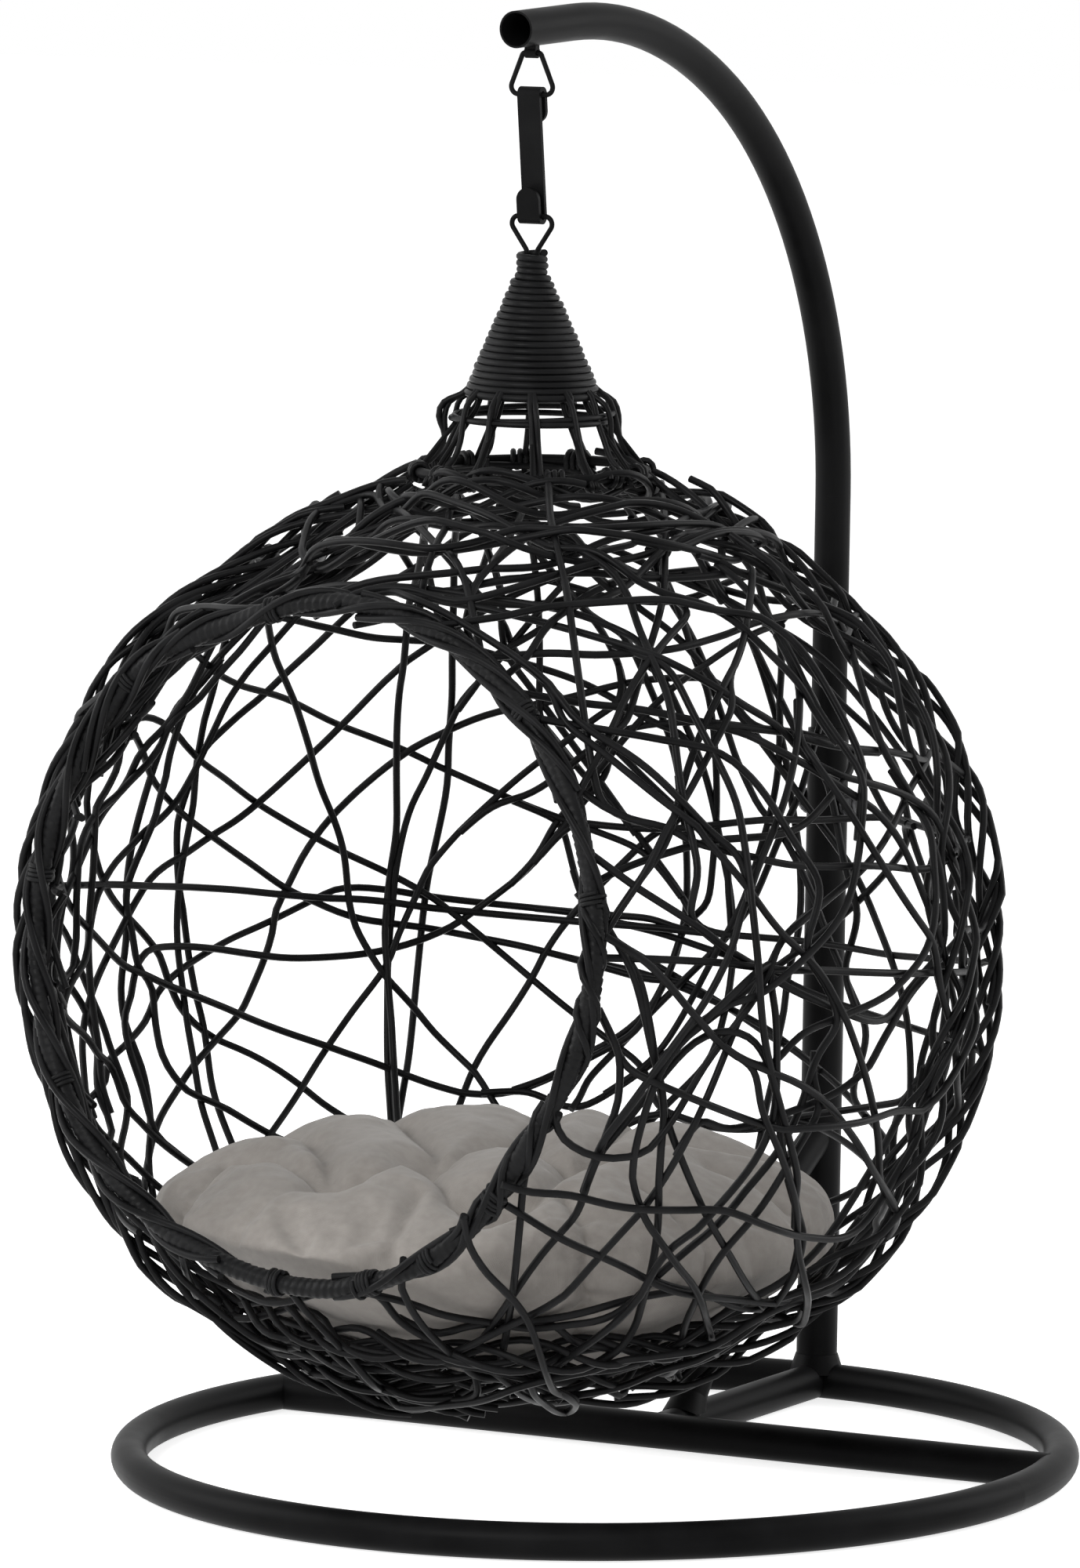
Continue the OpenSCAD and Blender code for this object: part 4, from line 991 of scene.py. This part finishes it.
# -------- dressing the ball
def dress(name, paths, mat, slot, *gone, thickness=STRAND_D, sides=8):
    """Makes paths one piece of the ball, in place of the CAD nodes that are gone."""
    obj = strands(name, paths, mat, thickness, sides)
    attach(obj, "basket")
    if gone:
        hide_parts(*gone)


def layer(i, stride, count, low, span):
    """One of several depths in the wall for strand i, in mixed order."""
    return low + span * (i * stride % count) / count


def run_on(u):
    return RUN_ON_SEEN_RIGHT if u > RIGHT_EDGE_U else RUN_ON_SEEN


def kept(paths, keep, least=12):
    """The runs of each path where keep(point) holds."""
    out = []
    for path in paths:
        run = []
        for p in path + [None]:
            if p is not None and keep(p):
                run.append(p)
                continue
            if len(run) >= least:
                out.append(run)
            run = []
    return out


# Where the fields begin that are filled up: to the left of the ball's middle, and above it
EDGE_ON_FROM, STRIP_FROM, TOP_FROM_Z = -0.84, -0.50, 0.215


def off_window(p):
    return not seen_through_mouth(p, 0.008)


def unseen(p):
    return off_window(p) and not faces_camera(p)


def rightness(p):
    """How far right of the ball's middle a point lies for the camera, from -1 to 1."""
    return (p - BALL_C).normalized().dot(CAM_RIGHT)


def edge_on(p):
    """True on the left wall, which the camera sees along its face."""
    return off_window(p) and rightness(p) < EDGE_ON_FROM


def left_strip(p):
    """True between the rim and the ball's left outline."""
    return faces_camera(p) and rightness(p) < STRIP_FROM


def up_top(p):
    return off_window(p) and p.z > BALL_C.z + TOP_FROM_Z


seen = [traced(row, True, layer(i, 7, 10, 0.15, 0.5), i, (run_on(row[0]), run_on(row[-2])))
        for i, row in enumerate(FAR_SEEN)]
behind = [traced(row, True, layer(i, 3, 10, 0.2, 0.6), 100 + i, (RUN_ON_BEHIND, RUN_ON_BEHIND), off_limits)
          for i, row in enumerate(FAR_BEHIND)]
near = [traced(row, False, layer(i, 7, 11, 0.2, 0.7), 200 + i, (RUN_ON_NEAR, RUN_ON_NEAR))
        for i, row in enumerate(NEAR)]
foot_path = spline([on_ball(u, v, False) for u, v in pixels(FOOT_LINE)], STEP)
bundles = bundles_on(limb_path, OUTLINE, 1, OUTLINE_LAY) + bundle(foot_path, 4, *FOOT_LAY, 6)
bottom = bundles_on(level_path, BOTTOM_RINGS, 30, BOTTOM_LAY)
back = bundles_on(level_path, BACK_RINGS, 50, BACK_LAY)
crown = bundles_on(crown_path, CROWN_RINGS, 70, CROWN_LAY)

seen = tied_in(seen, seen + behind, reach=0.14)
behind = tied_in(behind, behind + seen + bundles, reach=0.15)
near = tied_in(near, near + bundles, reach=0.10)
back = tied_in(kept(back, off_window), back + behind + seen + bundles + bottom, reach=0.12)

rng = random.Random(20)
filler = fill(rng, *TOP_FILL, up_top, from_crown, depth=(0.0, 0.6))
filler += fill(rng, *BACK_CROWN_FILL, unseen, from_crown)
filler += fill(rng, *BACK_FILL, unseen, from_anywhere)
filler = tied_in(filler, filler + bundles + crown + near + behind, reach=0.10)
sides = fill(random.Random(31), *EDGE_ON_FILL, edge_on, from_anywhere)
sides += fill(random.Random(33), *STRIP_FILL, left_strip, from_rim)
sides = tied_in(sides, sides + bundles + behind + seen + near, reach=0.10)

dress("far_net", seen, round_wicker, "round_wicker", "weave_1", "belt_hoop")
dress("back_net", behind + back, round_wicker, "round_wicker", "weave_2")
dress("near_net", near, round_wicker, "round_wicker", "weave_3", "frame_ribs")
dress("net_bundles", bundles, round_wicker, "round_wicker", "weave_4")
dress("cross_net", filler + sides, round_wicker, "round_wicker", "weave_5")
dress("crown_net", crown, round_wicker, "round_wicker", "crown_rings")
dress("bottom_net", bottom, round_wicker, "round_wicker", "floor_rings", "floor_hoop")

rim_band = rim_winding()
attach(rim_band, "basket")
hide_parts("rim_wrap", "rim_hoop")
ties = [rim_tie(turns, around, k) for k, (turns, around) in enumerate(RIM_TIES)]
dress("rim_ties", ties, flat_wicker, "flat_wicker", thickness=RIM_TIE_D, sides=6)
companions = [path for row in RIM_COMPANIONS for path in rim_companions(*row)]
dress("rim_companions", companions, round_wicker, "round_wicker")
dress("cone_winding", [cone_winding()], flat_wicker, "flat_wicker", "cone_wrap", sides=10)
dress("neck_strands", neck_weave() + neck_knots(), round_wicker, "round_wicker", "neck_loops", "neck_ring",
      thickness=NECK_STRAND_D)


# -------- cushion
# Where the folds and tufts lie on the pad's top, as places in the frame, u and v in turn
FOLDS = (
    (457, 1418, 518, 1438, 558, 1474, 540, 1488),
    (205, 1486, 286, 1467, 344, 1473, 390, 1487, 428, 1499),
    (428, 1499, 466, 1495, 540, 1492, 576, 1514, 628, 1520, 690, 1512),
    (540, 1488, 553, 1482, 600, 1471, 652, 1468, 738, 1486),
    (690, 1512, 738, 1489, 808, 1476, 855, 1471, 950, 1466),
    (652, 1468, 690, 1440, 700, 1412),
    (738, 1486, 800, 1440, 830, 1420),
    (428, 1499, 400, 1460, 330, 1432),
)
TUFT_SPOTS = ((428, 1499), (545, 1487), (640, 1518), (738, 1488), (652, 1468))
FOLD_Z = 0.046
# The folds round its edge: angle in the camera's view from above, and how strong each is
VIEW_TURN = math.atan2(CAM_RIGHT.y, CAM_RIGHT.x)
EDGE_FOLDS = [(VIEW_TURN + math.radians(a), force) for a, force in (
    (190, 0.35), (222, 0.5), (253, 0.9), (288, 1.0), (310, 0.9), (338, 0.7), (22, 0.3), (60, 0.2), (92, 0.2),
    (113, 0.7), (150, 0.3))]
# Width and depth of what is pressed into the pad. A fold is a soft valley with a sharp crease in it
VALLEY, CREASE = (0.019, 0.0085), (0.0050, 0.0065)
BOWL, PIT = (0.024, 0.013), (0.008, 0.007)
SEAM_GROOVE, SEAM_PUCKER = (0.0020, 0.016), (0.012, 0.0045)
# The same round the edge, as angles in radians and shares of the radius
EDGE_VALLEY, EDGE_CREASE = (0.12, 0.020), (0.022, 0.022)
PUCKERS = 74
SHELL_HALF, SHELL_INSET = 0.026, 0.016
VOXEL = 0.005
MOST_SWELL = 0.024
SWELL_FRAMES = 20
SWELL = {"use_pressure": True, "uniform_pressure_force": 4.0, "quality": 6, "tension_stiffness": 12,
         "compression_stiffness": 12, "bending_stiffness": 0.4}


def on_pad(u, v):
    """The point of the pad's top, from its middle, that a pixel of the frame shows."""
    ray = pixel_ray(u, v)
    hit = CAM_POS + ray * ((CUSHION_C.z + FOLD_Z - CAM_POS.z) / ray.z) - CUSHION_C
    return hit.x, hit.y


TUFTS = [on_pad(u, v) for u, v in TUFT_SPOTS]


def cushion_shell():
    """A round pad, thick in the middle: the shape that the filling blows up."""
    bm = bmesh.new()
    rings, around = 22, 96
    rows = []
    for j in range(1, rings):
        t = math.pi * j / rings
        r = (CUSHION_R - SHELL_INSET) * math.sin(t) ** 0.42
        z = SHELL_HALF * math.copysign(abs(math.cos(t)) ** 0.85, math.cos(t))
        turns = [math.tau * i / around for i in range(around)]
        rows.append([bm.verts.new((r * math.cos(a), r * math.sin(a), z)) for a in turns])
    top = bm.verts.new((0, 0, SHELL_HALF))
    foot = bm.verts.new((0, 0, -SHELL_HALF))
    for i in range(around):
        n = (i + 1) % around
        bm.faces.new((top, rows[0][i], rows[0][n]))
        bm.faces.new((foot, rows[-1][n], rows[-1][i]))
        for upper, lower in zip(rows, rows[1:]):
            bm.faces.new((upper[i], lower[i], lower[n], upper[n]))
    return from_bmesh("cushion", bm)


def apply_modifier(obj, name):
    with bpy.context.temp_override(object=obj, active_object=obj, selected_objects=[obj]):
        bpy.ops.object.modifier_apply(modifier=name)


def remesh(obj):
    shell = obj.modifiers.new("remesh", "REMESH")
    shell.mode = "VOXEL"
    shell.voxel_size = VOXEL
    apply_modifier(obj, "remesh")


def blow_up(obj):
    """Cloth with air inside: the cover swells and wrinkles; no point moves further than MOST_SWELL."""
    before = [v.co.copy() for v in obj.data.vertices]
    swell = obj.modifiers.new("cloth", "CLOTH")
    swell.settings.effector_weights.gravity = 0.0
    for key, value in SWELL.items():
        setattr(swell.settings, key, value)
    scene = bpy.context.scene
    for frame_no in range(1, SWELL_FRAMES + 1):
        scene.frame_set(frame_no)
    graph = bpy.context.evaluated_depsgraph_get()
    moved = [v.co.copy() for v in obj.evaluated_get(graph).data.vertices]
    obj.modifiers.remove(swell)
    scene.frame_set(1)
    for v, old, new in zip(obj.data.vertices, before, moved):
        step = new - old
        if step.length > MOST_SWELL:
            step *= MOST_SWELL / step.length
        v.co = old + step


def fit_pad(obj):
    """Brings the swollen pad to the cushion's size, with a flatter, fuller body."""
    reach = max(math.hypot(v.co.x, v.co.y) for v in obj.data.vertices)
    high = max(v.co.z for v in obj.data.vertices)
    low = min(v.co.z for v in obj.data.vertices)
    for v in obj.data.vertices:
        x, y, z = v.co
        z = (z / high) ** 0.72 * CUSHION_TOP if z > 0 else (z / low) ** 0.8 * CUSHION_FOOT
        v.co = Vector((x / reach * CUSHION_R, y / reach * CUSHION_R, z))


def off_line(x, y, a, b):
    """Distance of a point from the line between a and b."""
    ax, ay, bx, by = *a, *b
    t = clamped(((x - ax) * (bx - ax) + (y - ay) * (by - ay)) / ((bx - ax) ** 2 + (by - ay) ** 2))
    return math.hypot(x - ax - t * (bx - ax), y - ay - t * (by - ay))


def clear_of_rim(p):
    """Moves a point of the cushion off the rim's winding."""
    off = p - RIM_C
    high = off.dot(RIM_N)
    flat = off - RIM_N * high
    around = math.degrees(math.atan2(flat.dot(RIM_UP), flat.dot(RIM_SIDE)))
    reach = flat.length - rim_reach(around)
    gap = math.hypot(reach, high)
    if gap < RIM_CLEAR:
        p = p + (flat.normalized() * reach + RIM_N * high) * (RIM_CLEAR / max(gap, 1e-6) - 1.0)
    return p


def seated(p):
    """Moves a point of the cushion inside the net that it rests on."""
    out = p - BALL_C
    seat = SEAT_R - flattened(out)
    return BALL_C + out * (seat / out.length) if out.length > seat else p


def fold_lines():
    """The folds between the tufts and out to the edge, as ends and force."""
    lines = []
    for row in FOLDS:
        spots = [on_pad(u, v) for u, v in pixels(row)]
        lines += [(a, b, 1.0) for a, b in zip(spots, spots[1:])]
    for turn, force in EDGE_FOLDS:
        x, y = math.cos(turn), math.sin(turn)
        lines.append(((x * 0.14, y * 0.14), (x * 0.22, y * 0.22), 0.8 * force))
    return lines


def dip_at(x, y, lines):
    """How much of a valley and of a crease there is at a point, from 0 to 1, and how deep its tuft is."""
    valley, crease = 0.0, 0.0
    for a, b, force in lines:
        d = off_line(x, y, a, b) + 0.0022 * ripple(x * 45, y * 45, 1.7)
        valley = max(valley, force * bell(d, VALLEY[0]))
        crease = max(crease, force * bell(d, CREASE[0]))
    tuft = 0.0
    for a in TUFTS:
        d = math.hypot(x - a[0], y - a[1])
        tuft = max(tuft, BOWL[1] * bell(d, BOWL[0]) + PIT[1] * bell(d, PIT[0]))
    return valley, crease, tuft


def pull_at(x, y, z, from_seam):
    """The share of its distance out that a point keeps: less in the edge's folds and its seam."""
    ang = math.atan2(y, x)
    edge = clamped((math.hypot(x, y) - 0.13) / 0.06)
    valley, crease = 0.0, 0.0
    for a, force in EDGE_FOLDS:
        off = abs((ang - a + math.pi) % math.tau - math.pi) + 0.02 * ripple(z * 60, a * 3, 0.0)
        valley += force * bell(off, EDGE_VALLEY[0])
        crease += force * bell(off, EDGE_CREASE[0])
    pull = 1.0 - edge * (EDGE_VALLEY[1] * valley + EDGE_CREASE[1] * crease)
    pull += edge * 0.016 * ripple(math.cos(ang) * 2.6, math.sin(ang) * 2.6, 0.4)
    pull += 0.007 * ripple(x * 18, y * 18, z * 22)
    pull -= SEAM_GROOVE[1] * (edge * bell(from_seam, SEAM_GROOVE[0]))
    pucker = edge * bell(from_seam, SEAM_PUCKER[0])
    return pull + SEAM_PUCKER[1] * pucker * math.sin(ang * PUCKERS + 3 * ripple(ang * 5, 0.0, 3.0))


def press_details(obj):
    """Pulls the tufts down, folds the creases between them and out to the edge, and ploughs the edge seam."""
    lines = fold_lines()
    for v in obj.data.vertices:
        x, y, z = v.co
        top = clamped((z - 0.004) / 0.026)
        low = clamped((-z - 0.012) / 0.02)
        valley, crease, tuft = dip_at(x, y, lines)
        inner = 1.0 - 0.6 * clamped((math.hypot(x, y) - 0.15) / 0.05)
        z -= top * inner * (VALLEY[1] * valley + CREASE[1] * crease + tuft)
        z += low * (0.006 * valley + 0.004 * crease)
        pull = pull_at(x, y, z, v.co.z - SEAM_Z)
        x, y = x * pull, y * pull
        z += 0.0022 * ripple(x * 26, y * 26, 4.0)
        z += 0.0009 * ripple(x * 90, y * 90, z * 60)
        v.co = seated(clear_of_rim(CUSHION_C + Vector((x, y, z))))


cushion = cushion_shell()
remesh(cushion)
blow_up(cushion)
finer = cushion.modifiers.new("finer", "SUBSURF")
finer.levels = finer.render_levels = 1
apply_modifier(cushion, "finer")
fit_pad(cushion)
press_details(cushion)
smooth_shaded(cushion)
assign(cushion, cloth)
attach(cushion, "cushion")
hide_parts("cushion_cover", "cushion_fill")

# -------- floor, light
FLOOR_SIZE, FLOOR_Z = 24.0, -0.0006
# Lamps: name, place to the right of, behind and above the object's foot, size and power
LAMPS = (("key", -1.3, -2.6, 1.9, 1.7, 46.0), ("left", -2.4, 0.3, 1.3, 1.9, 26.0),
         ("right", 2.4, 0.5, 1.3, 1.9, 24.0))
LAMPS_AIM = Vector((0, 0, 0.40))


def seen_white(tree):
    """1 for rays from the camera, and for those that a gloss or glass sends on."""
    rays = add_node(tree, "ShaderNodeLightPath").outputs
    direct = add_math(tree, "MAXIMUM", rays["Is Camera Ray"], rays["Is Glossy Ray"])
    return add_math(tree, "MAXIMUM", direct, rays["Is Transmission Ray"])


def make_floor():
    """A floor that the camera sees nearly white, and that lights the object no more than plain paint does."""
    bpy.ops.mesh.primitive_plane_add(size=FLOOR_SIZE, location=(0, 0, FLOOR_Z))
    floor = bpy.context.object
    floor.name = "floor"
    mat = bpy.data.materials.new("floor_white")
    mat.use_nodes = True
    tree = mat.node_tree
    tree.nodes.clear()
    paint = add_node(tree, "ShaderNodeBsdfDiffuse", Color=(0.9, 0.9, 0.9, 1)).outputs[0]
    glow = add_node(tree, "ShaderNodeEmission", Color=(1, 1, 1, 1), Strength=0.80).outputs[0]
    bright = add_node(tree, "ShaderNodeAddShader", paint, glow).outputs[0]
    pick = add_node(tree, "ShaderNodeMixShader", seen_white(tree), paint, bright).outputs[0]
    add_node(tree, "ShaderNodeOutputMaterial", Surface=pick)
    floor.data.materials.append(mat)


def make_world():
    """Soft light from all round, and white where the camera sees past the floor."""
    world = bpy.data.worlds.new("studio")
    bpy.context.scene.world = world
    world.use_nodes = True
    tree = world.node_tree
    tree.nodes.clear()
    light = add_node(tree, "ShaderNodeBackground", Color=(1, 1, 1, 1), Strength=0.42).outputs[0]
    white = add_node(tree, "ShaderNodeBackground", Color=(1, 1, 1, 1), Strength=1.0).outputs[0]
    pick = add_node(tree, "ShaderNodeMixShader", seen_white(tree), light, white).outputs[0]
    add_node(tree, "ShaderNodeOutputWorld", Surface=pick)


def make_lamps():
    across = Vector((CAM_RIGHT.x, CAM_RIGHT.y, 0)).normalized()
    away = Vector((CAM_DIR.x, CAM_DIR.y, 0)).normalized()
    for name, right, behind_it, high, size, power in LAMPS:
        data = bpy.data.lights.new(name, "AREA")
        data.shape = "DISK"
        data.size = size
        data.energy = power
        place = across * right + away * behind_it + Vector((0, 0, high))
        aimed(in_scene(name, data), place, LAMPS_AIM - place)


make_floor()
make_world()
make_lamps()
bpy.context.scene.view_settings.view_transform = "Standard"
